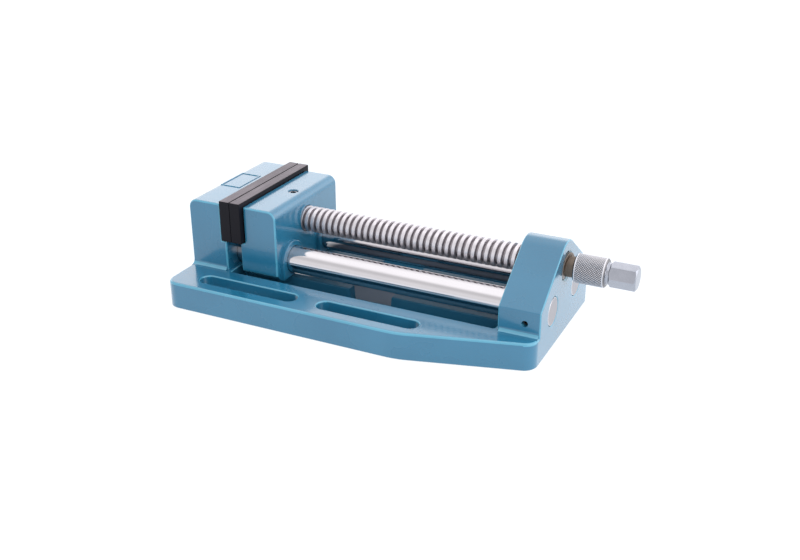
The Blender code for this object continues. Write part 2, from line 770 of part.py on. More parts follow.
def build_nut():
    x0, x1 = NUT_X
    c = 0.0006
    profile = [(x0, NUT_R - c), (x0 + c, NUT_R), (x1 - c, NUT_R), (x1, NUT_R - c)]
    nut = part(turned_x(profile, 0.0, SCREW_Z, ROUND), "spindle_nut", BRONZE)
    bore = bore_x(x0 - 0.0020, x1 + 0.0020, 0.0, SCREW_Z, NUT_BORE_R)
    cut(nut, helper(bore, "h_nut_bore"))
    key = bore_x(x0 - 0.0020, KEY_END + GAP, NUT_R + 0.00015, SCREW_Z, KEY_R + GAP, 12)
    cut(nut, helper(key, "h_key_nut"))
    profile = [(x0 + 0.0003, KEY_R - 0.0003), (x0 + 0.0006, KEY_R)]
    profile += [(KEY_END - 0.0003, KEY_R), (KEY_END, KEY_R - 0.0003)]
    part(turned_x(profile, NUT_R + 0.00015, SCREW_Z, 12), "nut_key_pin", BLACK_STEEL)


clear_scene()
PARTS = new_collection("machine_vise")
HELPERS = new_collection("cutters")

PAINT = make_material("blue_enamel", (0.10, 0.32, 0.46), 0.0, 0.25)
PLATE_STEEL = make_material("blued_plate_steel", (0.045, 0.035, 0.040), 0.8, 0.45)
CHROME = make_material("ground_chrome", (0.80, 0.80, 0.82), 1.0, 0.08)
SCREW_STEEL = make_material("screw_steel", (0.62, 0.60, 0.58), 1.0, 0.25)
ZINC = make_material("bright_zinc", (0.62, 0.63, 0.66), 1.0, 0.30)
BLACK_STEEL = make_material("black_oxide", (0.05, 0.05, 0.055), 0.7, 0.45)
BRONZE = make_material("bearing_bronze", (0.60, 0.42, 0.20), 1.0, 0.35)

build_base()
build_plate("fixed_jaw_plate", -1.0)
build_plate("moving_jaw_plate", 1.0)
build_plate_screw("fixed_plate_screw_near", -1.0, -PLATE_SCREW_Y)
build_plate_screw("fixed_plate_screw_far", -1.0, PLATE_SCREW_Y)
build_plate_screw("moving_plate_screw_near", 1.0, -PLATE_SCREW_Y)
build_plate_screw("moving_plate_screw_far", 1.0, PLATE_SCREW_Y)
build_moving_jaw()
build_rod("guide_rod_near", -1.0)
build_rod("guide_rod_far", 1.0)
build_lock_screw("rod_lock_screw_near", -1.0)
build_lock_screw("rod_lock_screw_far", 1.0)
build_lead_screw()
build_sleeve()
build_sleeve_pin()
build_button()
build_dog_screws()
build_nut()
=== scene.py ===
"""Looks of a drill-press machine vise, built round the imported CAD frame.

Metres, +X from the fixed jaw to the hexagon drive, +Z up. Sizes along X are measured
from the grip plane, where the two jaw plates meet, and shifted into the row frame.
"""

import math

import bmesh
import bpy
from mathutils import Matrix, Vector
from mathutils.geometry import delaunay_2d_cdt


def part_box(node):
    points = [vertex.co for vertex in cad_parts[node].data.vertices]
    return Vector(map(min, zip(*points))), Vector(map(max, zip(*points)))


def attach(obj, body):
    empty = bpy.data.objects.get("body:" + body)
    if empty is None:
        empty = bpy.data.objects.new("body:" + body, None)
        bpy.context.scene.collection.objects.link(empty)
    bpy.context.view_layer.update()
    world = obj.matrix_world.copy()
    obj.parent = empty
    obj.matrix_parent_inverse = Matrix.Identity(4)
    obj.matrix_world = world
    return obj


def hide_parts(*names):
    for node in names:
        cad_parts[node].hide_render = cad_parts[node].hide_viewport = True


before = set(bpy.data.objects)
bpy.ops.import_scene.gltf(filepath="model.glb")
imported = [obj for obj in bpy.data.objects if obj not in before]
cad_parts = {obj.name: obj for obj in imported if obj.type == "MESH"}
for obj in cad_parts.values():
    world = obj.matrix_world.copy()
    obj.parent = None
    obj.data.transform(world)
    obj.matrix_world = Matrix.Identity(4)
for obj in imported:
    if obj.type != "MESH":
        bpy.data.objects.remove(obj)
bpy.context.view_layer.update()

GAP = 0.0003
GRIP_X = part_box("fixed_jaw_plate")[1].x + GAP / 2.0
SCREW_Z = 0.0518
SIDES = (-1.0, 1.0)

# ---------------------------------------------------------------- base casting
# Pairs are (from, to). BURIED_Z is where the jaw and the bridge start inside the flange.
BASE_X0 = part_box("base_casting")[0].x - GRIP_X
BASE_X1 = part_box("base_casting")[1].x - GRIP_X
BASE_HALF_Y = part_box("base_casting")[1].y
BASE_END_HALF_Y = 0.0618
BASE_BEND_X = 0.1520
BASE_T = 0.0203
SLOT_R = 0.00635
SLOT_Y = 0.0697
SLOTS = ((-0.0085, 0.0602), (0.0900, 0.1553))
WINDOW = (-0.0015, 0.2095)
WINDOW_HALF_Y = 0.0510
RIB_Y = (0.0220, 0.0290)
RIB_TOP = 0.0150
TRENCH_FLOOR = 0.0040
NOTCH = (0.0885, 0.1208)
NOTCH_FLOOR = 0.0043
JAW_SEAT = 0.00905
JAW_LEDGE = 0.0051
LEDGE_Z = 0.0433
FIXED_HALF_Y = 0.0493
FIXED_TOP = 0.0724
FOOT_R = 0.0034
BRIDGE_X = (0.2115, 0.2417)
BRIDGE_HALF_Y = 0.0520
BRIDGE_SHOULDER_Z = 0.0378
DOME_R = 0.0186
ROD_R = 0.0102
ROD_Y = 0.0262
ROD_Z = 0.0287
ROD_X = (-0.0290, 0.2417)
LOCK_X = 0.2307
LOCK_R = 0.0021
BURIED_Z = 0.0080
FLANGE_RIM_R = 0.0020
FLANGE_CHAMFER = 0.0006
SLOT_RIM_R = 0.0011
WINDOW_RIM_R = 0.0009
WINDOW_CORNER_R = 0.0012
CAST_EDGE_R = 0.0016
JAW_BACK_R = 0.0065

# ------------------------------------------------------------------ moving jaw
MOVING_HALF_Y = 0.0460
MOVING_TOP = 0.0716
MOVING_REAR = 0.0362
MOVING_SIDE_Z = 0.0202
TONGUE_HALF_Y = 0.0407
TONGUE_Z = 0.0165
BOSS_REAR = 0.0392
BOSS_R = 0.0144
PLATE_HALF_Y = 0.0500
PLATE_T = 0.00875
PLATE_Z = (0.0436, 0.0751)
PLATE_SCREW_Y = 0.0300
PLATE_SCREW_Z = 0.0595
HEAD_DEPTH = 0.0058
DOG_X = 0.0245
DOG_R = 0.0036
TAP_R = 0.0032
TAP_X = (0.0050, 0.0232)
PLATE_SCREW_R = 0.0030
PLATE_SCREW_X1 = 0.0220

# --------------------------------------------------------------------- spindle
SCREW_R = 0.00970
CORE_R = 0.00735
PITCH = 0.0050
THREAD_X0 = 0.03126
THREAD_TURNS = 42
TAIL_X = 0.2476
SLEEVE_X = (0.2480, 0.2700)
SLEEVE_R = 0.01035
HEX_X = (0.2725, 0.2910)
HEX_CORNER = 0.0091
HEX_PHASE = 5.0
TENON_R = 0.0062
SLEEVE_BORE_R = 0.0064
PIN_X = 0.2590
PIN_R = 0.0015
NUT_X = (0.2120, 0.2350)
NUT_R = 0.0130
NUT_HOLE_R = 0.01015
NUT_SEAT_R = 0.0132
KEY_Y = 0.01315
KEY_R = 0.0016
KEY_X = (0.2080, 0.2243)
PIN_GAP = 0.0001


# ------------------------------------------------------------- mesh primitives
def skin(bm, low, high):
    """Quads between two rings of vertices."""
    n = len(low)
    for i in range(n):
        j = (i + 1) % n
        bm.faces.new((low[i], low[j], high[j], high[i]))


def loft(rings, wrap=False):
    """Closed skin through rings of equal length; wrap joins the last ring to the first."""
    bm = bmesh.new()
    made = [[bm.verts.new(co) for co in ring] for ring in rings]
    for low, high in zip(made, made[1:]):
        skin(bm, low, high)
    if wrap:
        skin(bm, made[-1], made[0])
    else:
        bm.faces.new(made[0])
        bm.faces.new(made[-1])
    return bm


def along_x(y, z, x):
    """Point of an outline in Y and Z, at x."""
    return Vector((x, y, z))


def along_y(x, z, y):
    """Point of an outline in X and Z, at y."""
    return Vector((x, y, z))


def arc(cx, cy, r, a0, a1, steps):
    """Points of an arc from angle a0 to a1, in degrees."""
    points = []
    for i in range(steps + 1):
        a = math.radians(a0 + (a1 - a0) * i / steps)
        points.append((cx + r * math.cos(a), cy + r * math.sin(a)))
    return points


def soften(outline, radii, steps=4):
    """Round or fillet the corners of a counter-clockwise outline; one radius per corner."""
    rounded = []
    n = len(outline)
    for i in range(n):
        c = Vector(outline[i])
        r = radii[i]
        if r <= 0.0:
            rounded.append((c.x, c.y))
            continue
        a = (Vector(outline[i - 1]) - c).normalized()
        b = (Vector(outline[(i + 1) % n]) - c).normalized()
        half = a.angle(b) / 2.0
        reach = r / math.tan(half)
        centre = c + (a + b).normalized() * (r / math.sin(half))
        start = c + a * reach - centre
        end = c + b * reach - centre
        turn = math.atan2(start.x * end.y - start.y * end.x, start.dot(end))
        for k in range(steps + 1):
            t = turn * k / steps
            x = start.x * math.cos(t) - start.y * math.sin(t)
            y = start.x * math.sin(t) + start.y * math.cos(t)
            rounded.append((centre.x + x, centre.y + y))
    return rounded


def inset(outline, d):
    """Move every side of a counter-clockwise outline inwards by d."""
    moved = []
    n = len(outline)
    for i in range(n):
        c = Vector(outline[i])
        a = (c - Vector(outline[i - 1])).normalized()
        b = (Vector(outline[(i + 1) % n]) - c).normalized()
        na = Vector((-a.y, a.x))
        nb = Vector((-b.y, b.x))
        mid = (na + nb).normalized()
        p = c + mid * (d / mid.dot(na))
        moved.append((p.x, p.y))
    return moved


def offset_round(corners, radii, d, steps):
    """Outline with rounded corners, moved inwards by d with its arcs kept round."""
    smallest = 0.00002
    moved = []
    n = len(corners)
    for i, r in enumerate(radii):
        a = Vector(corners[i]) - Vector(corners[i - 1])
        b = Vector(corners[(i + 1) % n]) - Vector(corners[i])
        inward = a.x * b.y - a.y * b.x < 0.0
        grown = r + d if inward else r - d
        moved.append(max(grown, smallest) if r > 0.0 else 0.0)
    return soften(inset(corners, d) if d > 0.0 else corners, moved, steps)


def end_levels(position, r, way, steps=5):
    """Positions and insets of one rounded end of a block; way is +1 at its high end."""
    if r <= 0.0:
        return [(position, 0.0)]
    levels = []
    for k in range(steps + 1):
        t = math.radians(90.0 * k / steps)
        levels.append((position - way * r * (1.0 - math.sin(t)), r * (1.0 - math.cos(t))))
    return sorted(levels)


def block(corners, radii, a, b, ra, rb, place, steps=6):
    """Prism from a to b with rounded corners and rounded end edges."""
    rings = []
    for s, d in end_levels(a, ra, -1.0) + end_levels(b, rb, 1.0):
        ring = offset_round(corners, radii, d, steps)
        rings.append([place(u, v, s) for u, v in ring])
    return loft(rings)


def turned(profile, centre, axis, steps, wrap=False):
    """Closed solid of revolution; profile is (position, radius) along the axis."""
    rings = []
    for s, r in profile:
        ring = []
        for i in range(steps):
            a = math.radians(360.0 * i / steps)
            u = r * math.cos(a)
            v = r * math.sin(a)
            if axis == "x":
                ring.append(Vector((s, centre[0] + u, centre[1] + v)))
            elif axis == "y":
                ring.append(Vector((centre[0] + v, s, centre[1] + u)))
            else:
                ring.append(Vector((centre[0] + u, centre[1] + v, s)))
        rings.append(ring)
    return loft(rings, wrap)


def bore(axis, centre, s0, s1, r, steps=64):
    """Plain cylinder, used as a cutter."""
    return turned([(s0, r), (s1, r)], centre, axis, steps)


def new_object(bm, name):
    """Turn a bmesh in grip coordinates into an object in the row frame."""
    bmesh.ops.recalc_face_normals(bm, faces=bm.faces)
    for vert in bm.verts:
        vert.co.x += GRIP_X
    mesh = bpy.data.meshes.new(name)
    bm.to_mesh(mesh)
    bm.free()
    obj = bpy.data.objects.new(name, mesh)
    bpy.context.scene.collection.objects.link(obj)
    return obj


def combine(obj, steps):
    """Run Boolean steps [(operation, bmesh), ...] on obj and keep the result's mesh."""
    tools = []
    for i, (operation, bm) in enumerate(steps):
        tool = new_object(bm, "tool_%s_%d" % (obj.name, i))
        tool.hide_render = True
        tools.append(tool)
        mod = obj.modifiers.new("step", "BOOLEAN")
        mod.operation = operation
        mod.solver = "EXACT"
        mod.object = tool
    bpy.context.view_layer.update()
    depsgraph = bpy.context.evaluated_depsgraph_get()
    mesh = bpy.data.meshes.new_from_object(obj.evaluated_get(depsgraph))
    obj.modifiers.clear()
    old = obj.data
    obj.data = mesh
    bpy.data.meshes.remove(old)
    for tool in tools:
        data = tool.data
        bpy.data.objects.remove(tool)
        bpy.data.meshes.remove(data)


def finish_piece(obj, body, nodes, angle=34.0):
    """Shade, tie to its CAD body and hide the CAD parts it stands for."""
    mesh = obj.data
    mesh.polygons.foreach_set("use_smooth", [True] * len(mesh.polygons))
    mesh.set_sharp_from_angle(angle=math.radians(angle))
    mod = obj.modifiers.new("weighted", "WEIGHTED_NORMAL")
    mod.keep_sharp = True
    mod.weight = 100
    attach(obj, body)
    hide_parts(*nodes)


# ------------------------------------------------------------------- materials
class Tree:
    """A small helper for building a material's nodes."""

    def __init__(self, name):
        self.mat = bpy.data.materials.new(name)
        self.mat.use_nodes = True
        self.nodes = self.mat.node_tree.nodes
        self.links = self.mat.node_tree.links
        self.bsdf = self.nodes["Principled BSDF"]
        self.coord = self.nodes.new("ShaderNodeTexCoord").outputs["Object"]

    def set(self, **values):
        """Set constant shader sockets; underscores stand for spaces."""
        for key, value in values.items():
            self.bsdf.inputs[key.replace("_", " ")].default_value = value

    def link(self, a, b):
        self.links.new(a, b)

    def mapping(self, scale):
        """Object coordinates, stretched to give a finish its lay."""
        node = self.nodes.new("ShaderNodeMapping")
        node.inputs["Scale"].default_value = scale
        self.link(self.coord, node.inputs["Vector"])
        return node.outputs["Vector"]

    def noise(self, vector, scale, detail=3.0, rough=0.5):
        node = self.nodes.new("ShaderNodeTexNoise")
        node.inputs["Scale"].default_value = scale
        node.inputs["Detail"].default_value = detail
        node.inputs["Roughness"].default_value = rough
        self.link(vector, node.inputs["Vector"])
        return node.outputs["Fac"]

    def span(self, fac, low, high, a=0.0, b=1.0):
        """Map fac from a..b to low..high, clamped."""
        node = self.nodes.new("ShaderNodeMapRange")
        node.inputs["From Min"].default_value = a
        node.inputs["From Max"].default_value = b
        node.inputs["To Min"].default_value = low
        node.inputs["To Max"].default_value = high
        self.link(fac, node.inputs["Value"])
        return node.outputs["Result"]

    def math(self, operation, a, b=None):
        node = self.nodes.new("ShaderNodeMath")
        node.operation = operation
        for socket, value in zip(node.inputs, (a, b)):
            if value is None:
                continue
            if isinstance(value, float):
                socket.default_value = value
            else:
                self.link(value, socket)
        return node.outputs["Value"]

    def mix(self, fac, a, b):
        node = self.nodes.new("ShaderNodeMix")
        node.data_type = "RGBA"
        self.link(fac, node.inputs["Factor"])
        for socket, value in ((node.inputs[6], a), (node.inputs[7], b)):
            if isinstance(value, tuple):
                socket.default_value = (*value, 1.0)
            else:
                self.link(value, socket)
        return node.outputs[2]

    def bump(self, height, distance, strength=1.0, normal=None):
        node = self.nodes.new("ShaderNodeBump")
        node.inputs["Distance"].default_value = distance
        node.inputs["Strength"].default_value = strength
        self.link(height, node.inputs["Height"])
        if normal is not None:
            self.link(normal, node.inputs["Normal"])
        return node.outputs["Normal"]

    def split(self):
        """The object coordinates as separate X, Y and Z."""
        node = self.nodes.new("ShaderNodeSeparateXYZ")
        self.link(self.coord, node.inputs["Vector"])
        return node.outputs

    def axis_radius(self, y, z):
        """Distance from an axis that runs along X through (y, z)."""
        place = self.split()
        dy = self.math("SUBTRACT", place["Y"], y)
        dz = self.math("SUBTRACT", place["Z"], z)
        square = self.math("ADD", self.math("MULTIPLY", dy, dy), self.math("MULTIPLY", dz, dz))
        return self.math("SQRT", square)


def enamel(name, dark, light, fleck, gloss=1.0):
    """Gloss enamel on cast iron, with faint orange peel."""
    t = Tree(name)
    cloud = t.noise(t.coord, 22.0, 4.0)
    fine = t.noise(t.coord, 900.0, 2.0)
    tone = t.mix(t.span(cloud, 0.0, 1.0, 0.35, 0.65), dark, light)
    tone = t.mix(t.span(fine, 0.0, 0.22, 0.3, 0.7), tone, fleck)
    t.link(tone, t.bsdf.inputs["Base Color"])
    rough = 0.60 - 0.36 * gloss
    t.link(t.span(cloud, rough, rough + 0.08, 0.3, 0.7), t.bsdf.inputs["Roughness"])
    t.set(IOR=1.5, Coat_Weight=gloss, Coat_Roughness=0.11, Coat_IOR=1.5)
    peel = t.noise(t.coord, 320.0, 2.0, 0.45)
    cast = t.noise(t.coord, 75.0, 2.0, 0.5)
    skin = t.bump(peel, 0.00002, 0.35, t.bump(cast, 0.00010, 0.25))
    t.link(skin, t.bsdf.inputs["Normal"])
    t.link(skin, t.bsdf.inputs["Coat Normal"])
    return t.mat


def ground_iron():
    """Surface-ground bare cast iron, lay along X."""
    t = Tree("ground_iron")
    lay = t.noise(t.mapping((18.0, 2600.0, 400.0)), 1.0, 3.0)
    patch = t.noise(t.coord, 35.0, 3.0)
    t.link(t.mix(patch, (0.30, 0.30, 0.31), (0.42, 0.42, 0.43)), t.bsdf.inputs["Base Color"])
    t.link(t.span(lay, 0.30, 0.46, 0.3, 0.7), t.bsdf.inputs["Roughness"])
    t.set(Metallic=1.0)
    t.link(t.bump(lay, 0.00001, 0.6), t.bsdf.inputs["Normal"])
    return t.mat


def plate_steel():
    """Blued jaw plate: near black flanks, ground edges."""
    t = Tree("blued_plate_steel")
    grain = t.noise(t.mapping((900.0, 900.0, 26.0)), 1.0, 4.0, 0.6)
    patch = t.noise(t.coord, 60.0, 3.0)
    dark = t.mix(patch, (0.004, 0.004, 0.007), (0.008, 0.008, 0.012))
    dark = t.mix(t.span(grain, 0.0, 0.5, 0.35, 0.75), dark, (0.015, 0.013, 0.018))
    t.link(dark, t.bsdf.inputs["Base Color"])
    t.link(t.span(grain, 0.34, 0.50, 0.3, 0.7), t.bsdf.inputs["Roughness"])
    t.set(Metallic=0.0, Specular_IOR_Level=0.13)
    t.link(t.bump(grain, 0.00002, 0.5), t.bsdf.inputs["Normal"])
    return t.mat


def plate_edge():
    """Ground top edge of a jaw plate: brownish grey with fine lay along Y."""
    t = Tree("ground_plate_edge")
    lay = t.noise(t.mapping((2400.0, 40.0, 400.0)), 1.0, 4.0, 0.6)
    patch = t.noise(t.mapping((60.0, 22.0, 60.0)), 1.0, 3.0)
    tone = t.mix(t.span(patch, 0.0, 1.0, 0.3, 0.7), (0.085, 0.070, 0.085), (0.17, 0.148, 0.17))
    tone = t.mix(t.span(lay, 0.0, 0.5, 0.4, 0.8), tone, (0.045, 0.036, 0.045))
    t.link(tone, t.bsdf.inputs["Base Color"])
    t.link(t.span(lay, 0.30, 0.46, 0.3, 0.7), t.bsdf.inputs["Roughness"])
    t.set(Metallic=0.85)
    t.link(t.bump(lay, 0.00001, 0.6), t.bsdf.inputs["Normal"])
    return t.mat


def chrome():
    """Centreless-ground, hard-chromed bar with faint circumferential lay."""
    t = Tree("ground_chrome")
    lay = t.noise(t.mapping((5200.0, 60.0, 60.0)), 1.0, 2.0)
    patch = t.noise(t.coord, 30.0, 3.0)
    t.link(t.mix(patch, (0.62, 0.605, 0.625), (0.68, 0.665, 0.685)), t.bsdf.inputs["Base Color"])
    t.link(t.span(lay, 0.06, 0.12, 0.3, 0.7), t.bsdf.inputs["Roughness"])
    t.set(Metallic=1.0)
    t.link(t.bump(lay, 0.000003, 0.4), t.bsdf.inputs["Normal"])
    return t.mat


def faced_steel(name):
    """Faced or worn bare steel: matt, pinkish grey."""
    t = Tree(name)
    lay = t.noise(t.mapping((100.0, 500.0, 500.0)), 1.0, 3.0)
    t.link(t.mix(lay, (0.38, 0.365, 0.385), (0.48, 0.465, 0.485)), t.bsdf.inputs["Base Color"])
    t.link(t.span(lay, 0.34, 0.48, 0.3, 0.7), t.bsdf.inputs["Roughness"])
    t.set(Metallic=0.9)
    t.link(t.bump(lay, 0.00002, 0.4), t.bsdf.inputs["Normal"])
    return t.mat


def screw_steel():
    """Turned thread: bright crests, darker roots."""
    t = Tree("screw_steel")
    radius = t.axis_radius(0.0, SCREW_Z)
    lay = t.noise(t.mapping((3800.0, 90.0, 90.0)), 1.0, 3.0)
    stain = t.noise(t.mapping((70.0, 160.0, 160.0)), 1.0, 4.0, 0.6)
    crest = t.mix(t.span(stain, 0.0, 1.0, 0.35, 0.65), (0.66, 0.635, 0.66), (0.78, 0.75, 0.78))
    # Roots darker than crests, blended by distance from the axis.
    root = t.mix(stain, (0.27, 0.25, 0.26), (0.44, 0.41, 0.43))
    height = t.span(radius, 0.0, 1.0, CORE_R + 0.0001, SCREW_R - 0.0002)
    face = BRIDGE_X[1] + GRIP_X
    # Darker brown towards the bridge face.
    near_bridge = t.span(t.split()["X"], 0.0, 0.85, face - 0.0030, face + 0.0005)
    tone = t.mix(near_bridge, t.mix(height, root, crest), (0.17, 0.125, 0.085))
    t.link(tone, t.bsdf.inputs["Base Color"])
    t.link(t.span(lay, 0.40, 0.54, 0.3, 0.7), t.bsdf.inputs["Roughness"])
    t.set(Metallic=1.0)
    t.link(t.bump(lay, 0.00001, 0.6), t.bsdf.inputs["Normal"])
    return t.mat


def zinc():
    """Bright zinc plate with a faint mottle."""
    t = Tree("bright_zinc")
    mottle = t.noise(t.coord, 260.0, 3.0, 0.5)
    patch = t.noise(t.coord, 60.0, 3.0)
    tone = t.mix(patch, (0.35, 0.37, 0.42), (0.43, 0.45, 0.50))
    tone = t.mix(t.span(mottle, 0.0, 0.25, 0.35, 0.65), tone, (0.48, 0.50, 0.555))
    t.link(tone, t.bsdf.inputs["Base Color"])
    t.link(t.span(mottle, 0.17, 0.25, 0.3, 0.7), t.bsdf.inputs["Roughness"])
    t.set(Metallic=1.0)
    t.link(t.bump(mottle, 0.000006, 0.3), t.bsdf.inputs["Normal"])
    return t.mat


def knurl_steel():
    """Knurled sleeve: bright points, grey valleys."""
    t = Tree("knurled_steel")
    radius = t.axis_radius(0.0, SCREW_Z)
    mottle = t.noise(t.coord, 700.0, 4.0, 0.6)
    high = t.mix(mottle, (0.66, 0.66, 0.70), (0.82, 0.82, 0.86))
    low = t.mix(mottle, (0.16, 0.155, 0.16), (0.27, 0.265, 0.275))
    height = t.span(radius, 0.0, 1.0, SLEEVE_R - 0.00045, SLEEVE_R - 0.00003)
    t.link(t.mix(height, low, high), t.bsdf.inputs["Base Color"])
    t.link(t.span(mottle, 0.26, 0.42, 0.3, 0.7), t.bsdf.inputs["Roughness"])
    t.set(Metallic=1.0)
    return t.mat


def black_oxide():
    """Black-oxided screw steel."""
    t = Tree("black_oxide")
    mottle = t.noise(t.coord, 500.0, 3.0)
    tone = t.mix(mottle, (0.020, 0.020, 0.023), (0.055, 0.053, 0.056))
    t.link(tone, t.bsdf.inputs["Base Color"])
    t.link(t.span(mottle, 0.30, 0.46, 0.3, 0.7), t.bsdf.inputs["Roughness"])
    t.set(Metallic=0.7)
    t.link(t.bump(mottle, 0.00001, 0.4), t.bsdf.inputs["Normal"])
    return t.mat


def bronze():
    """Turned bearing bronze."""
    t = Tree("bearing_bronze")
    lay = t.noise(t.mapping((300.0, 2000.0, 2000.0)), 1.0, 3.0)
    t.link(t.mix(lay, (0.52, 0.33, 0.13), (0.66, 0.45, 0.20)), t.bsdf.inputs["Base Color"])
    t.link(t.span(lay, 0.24, 0.40, 0.3, 0.7), t.bsdf.inputs["Roughness"])
    t.set(Metallic=1.0)
    t.link(t.bump(lay, 0.00001, 0.4), t.bsdf.inputs["Normal"])
    return t.mat


ENAMEL = enamel(
    "blue_enamel", (0.013, 0.145, 0.262), (0.018, 0.170, 0.300), (0.022, 0.190, 0.325)
)
# Lighter enamel for rounded edges and fillets: a painted highlight.
ENAMEL_RIM_HIGHLIGHT = enamel(
    "blue_enamel_painted_rim_highlight", (0.060, 0.300, 0.440), (0.080, 0.350, 0.500), (0.095, 0.370, 0.520)
)
# Darker, duller enamel for the sunk bed between the ribs: painted shade.
ENAMEL_BED_SHADE = enamel(
    "blue_enamel_bed_painted_shade", (0.010, 0.115, 0.205), (0.015, 0.140, 0.245), (0.020, 0.155, 0.265), 0.12
)
WORN_STEEL = faced_steel("worn_socket_face")
IRON = ground_iron()
PLATE = plate_steel()
PLATE_EDGE = plate_edge()
CHROME = chrome()
ROD_END = faced_steel("faced_bar_end")
SCREW = screw_steel()
ZINC = zinc()
KNURL = knurl_steel()
OXIDE = black_oxide()
BRONZE = bronze()

# A normal with a component above this belongs to a flat face.
FLAT = 0.955


def is_highlight_rim(normal):
    """True where the paint runs over a rounded edge or into a fillet; these faces take the
    lighter enamel, a painted highlight.
    """
    return max(abs(normal.x), abs(normal.y), abs(normal.z)) < FLAT


def paint(obj, materials, pick=None):
    """Give obj its materials; pick(face centre, normal) returns a slot number."""
    mesh = obj.data
    mesh.materials.clear()
    for mat in materials:
        mesh.materials.append(mat)
    for face in mesh.polygons:
        face.material_index = pick(face.center, face.normal) if pick else 0


# ---------------------------------------------------------------- base casting
def flange_plan():
    """Outline of the flange, tapered towards the bridge."""
    end_r = 0.010
    bend_r = 0.060
    outline = [
        (BASE_X0, -BASE_HALF_Y), (BASE_BEND_X, -BASE_HALF_Y),
        (BASE_X1, -BASE_END_HALF_Y), (BASE_X1, BASE_END_HALF_Y),
        (BASE_BEND_X, BASE_HALF_Y), (BASE_X0, BASE_HALF_Y),
    ]
    return soften(outline, (end_r, bend_r, end_r, end_r, bend_r, end_r), 9)


def hole_plans():
    """Clamp slots and bed window, counter-clockwise, with their rim radii."""
    plans = []
    for side in SIDES:
        for x0, x1 in SLOTS:
            outline = arc(x1, side * SLOT_Y, SLOT_R, -90.0, 90.0, 20)
            outline += arc(x0, side * SLOT_Y, SLOT_R, 90.0, 270.0, 20)
            plans.append((outline, SLOT_RIM_R))
    x0, x1 = WINDOW
    y = WINDOW_HALF_Y
    outline = soften([(x0, -y), (x1, -y), (x1, y), (x0, y)], (WINDOW_CORNER_R,) * 4, 3)
    plans.append((outline, WINDOW_RIM_R))
    return plans


def flat_cap(bm, rings):
    """Triangulated plane between an outer ring and its holes, sharing their vertices."""
    verts = []
    edges = []
    for ring in rings:
        start = len(verts)
        n = len(ring)
        edges += [(start + i, start + (i + 1) % n) for i in range(n)]
        verts += ring
    flat = [Vector((v.co.x, v.co.y)) for v in verts]
    coords, _edges, tris, origin = delaunay_2d_cdt(flat, edges, [], 0, 1e-7)[:4]
    outer, *holes = [[(v.co.x, v.co.y) for v in ring] for ring in rings]
    for tri in tris:
        cx = sum(coords[i].x for i in tri) / len(tri)
        cy = sum(coords[i].y for i in tri) / len(tri)
        if inside(outer, cx, cy) and not any(inside(hole, cx, cy) for hole in holes):
            bm.faces.new([verts[origin[i][0]] for i in tri])


def inside(polygon, x, y):
    """True when (x, y) lies inside the polygon."""
    hit = False
    n = len(polygon)
    for i in range(n):
        x0, y0 = polygon[i]
        x1, y1 = polygon[(i + 1) % n]
        if (y0 > y) != (y1 > y) and x < (x1 - x0) * (y - y0) / (y1 - y0) + x0:
            hit = not hit
    return hit


def flange_body():
    """Flange plate with rounded top edges on its rim, its slots and its window."""
    bm = bmesh.new()
    plans = [(flange_plan(), FLANGE_RIM_R, 1.0)]
    plans += [(outline, r, -1.0) for outline, r in hole_plans()]
    tops = []
    bottoms = []
    for outline, r, way in plans:
        levels = [(0.0, FLANGE_CHAMFER), (FLANGE_CHAMFER, 0.0)]
        levels += end_levels(BASE_T, r, 1.0, 6)
        rings = []
        for z, d in levels:
            ring = inset(outline, way * d) if d > 1e-9 else outline
            rings.append([bm.verts.new((x, y, z)) for x, y in ring])
        for low, high in zip(rings, rings[1:]):
            skin(bm, low, high)
        tops.append(rings[-1])
        bottoms.append(rings[0])
    flat_cap(bm, tops)
    flat_cap(bm, bottoms)
    return bm


def bed_web(side):
    """Trench floor and rib on one side of the bed, let into the flange all round."""
    overlap = 0.0030
    x0 = WINDOW[0] - overlap
    x1 = WINDOW[1] + overlap
    y0, y1 = RIB_Y
    far = WINDOW_HALF_Y + overlap
    outline = [(y0, 0.0), (far, 0.0), (far, TRENCH_FLOOR), (y1, TRENCH_FLOOR)]
    outline += [(y1, RIB_TOP), (y0, RIB_TOP)]
    radii = (0.0, 0.0, 0.0, 0.0012, 0.0009, 0.0009)
    outline = soften(outline, radii)
    outline = [(side * y, z) for y, z in outline]
    if side < 0.0:
        outline.reverse()
    return loft([[along_x(y, z, x) for y, z in outline] for x in (x0, x1)])


def notch_cut(side):
    """Cutter for the gap in one rib; its ends slope and its floor is filleted."""
    past = 0.0010
    slope = 0.0012
    top = RIB_TOP + 2.0 * past
    y0 = side * (RIB_Y[0] - past)
    y1 = side * (RIB_Y[1] + past)
    outline = [(NOTCH[0], NOTCH_FLOOR), (NOTCH[1], NOTCH_FLOOR)]
    outline += [(NOTCH[1] + slope, top), (NOTCH[0] - slope, top)]
    outline = soften(outline, (slope, slope, 0.0, 0.0))
    return loft([[along_y(x, z, y) for x, z in outline] for y in sorted((y0, y1))])


def fixed_jaw_block():
    """Fixed jaw with the ledge that its plate stands on."""
    outline = [(BASE_X0, BURIED_Z), (-JAW_LEDGE, BURIED_Z), (-JAW_LEDGE, LEDGE_Z)]
    outline += [(-JAW_SEAT, LEDGE_Z), (-JAW_SEAT, FIXED_TOP), (BASE_X0, FIXED_TOP)]
    radii = (0.0, 0.0, 0.0009, 0.0002, 0.0008, JAW_BACK_R)
    edge = CAST_EDGE_R
    return block(outline, radii, -FIXED_HALF_Y, FIXED_HALF_Y, edge, edge, along_y)


def foot_fillet(x0, x1, half_y, side):
    """Concave fillet along one side of the fixed jaw or the bridge."""
    inner = half_y - 0.0030
    low = BASE_T - 0.0040
    outer = half_y + FOOT_R
    top = BASE_T + FOOT_R
    outline = [(inner, low), (outer, low)]
    outline += arc(outer, top, FOOT_R, 270.0, 180.0, 8)
    outline += [(inner, top)]
    return loft([[along_x(side * y, z, x) for y, z in outline] for x in (x0, x1)])


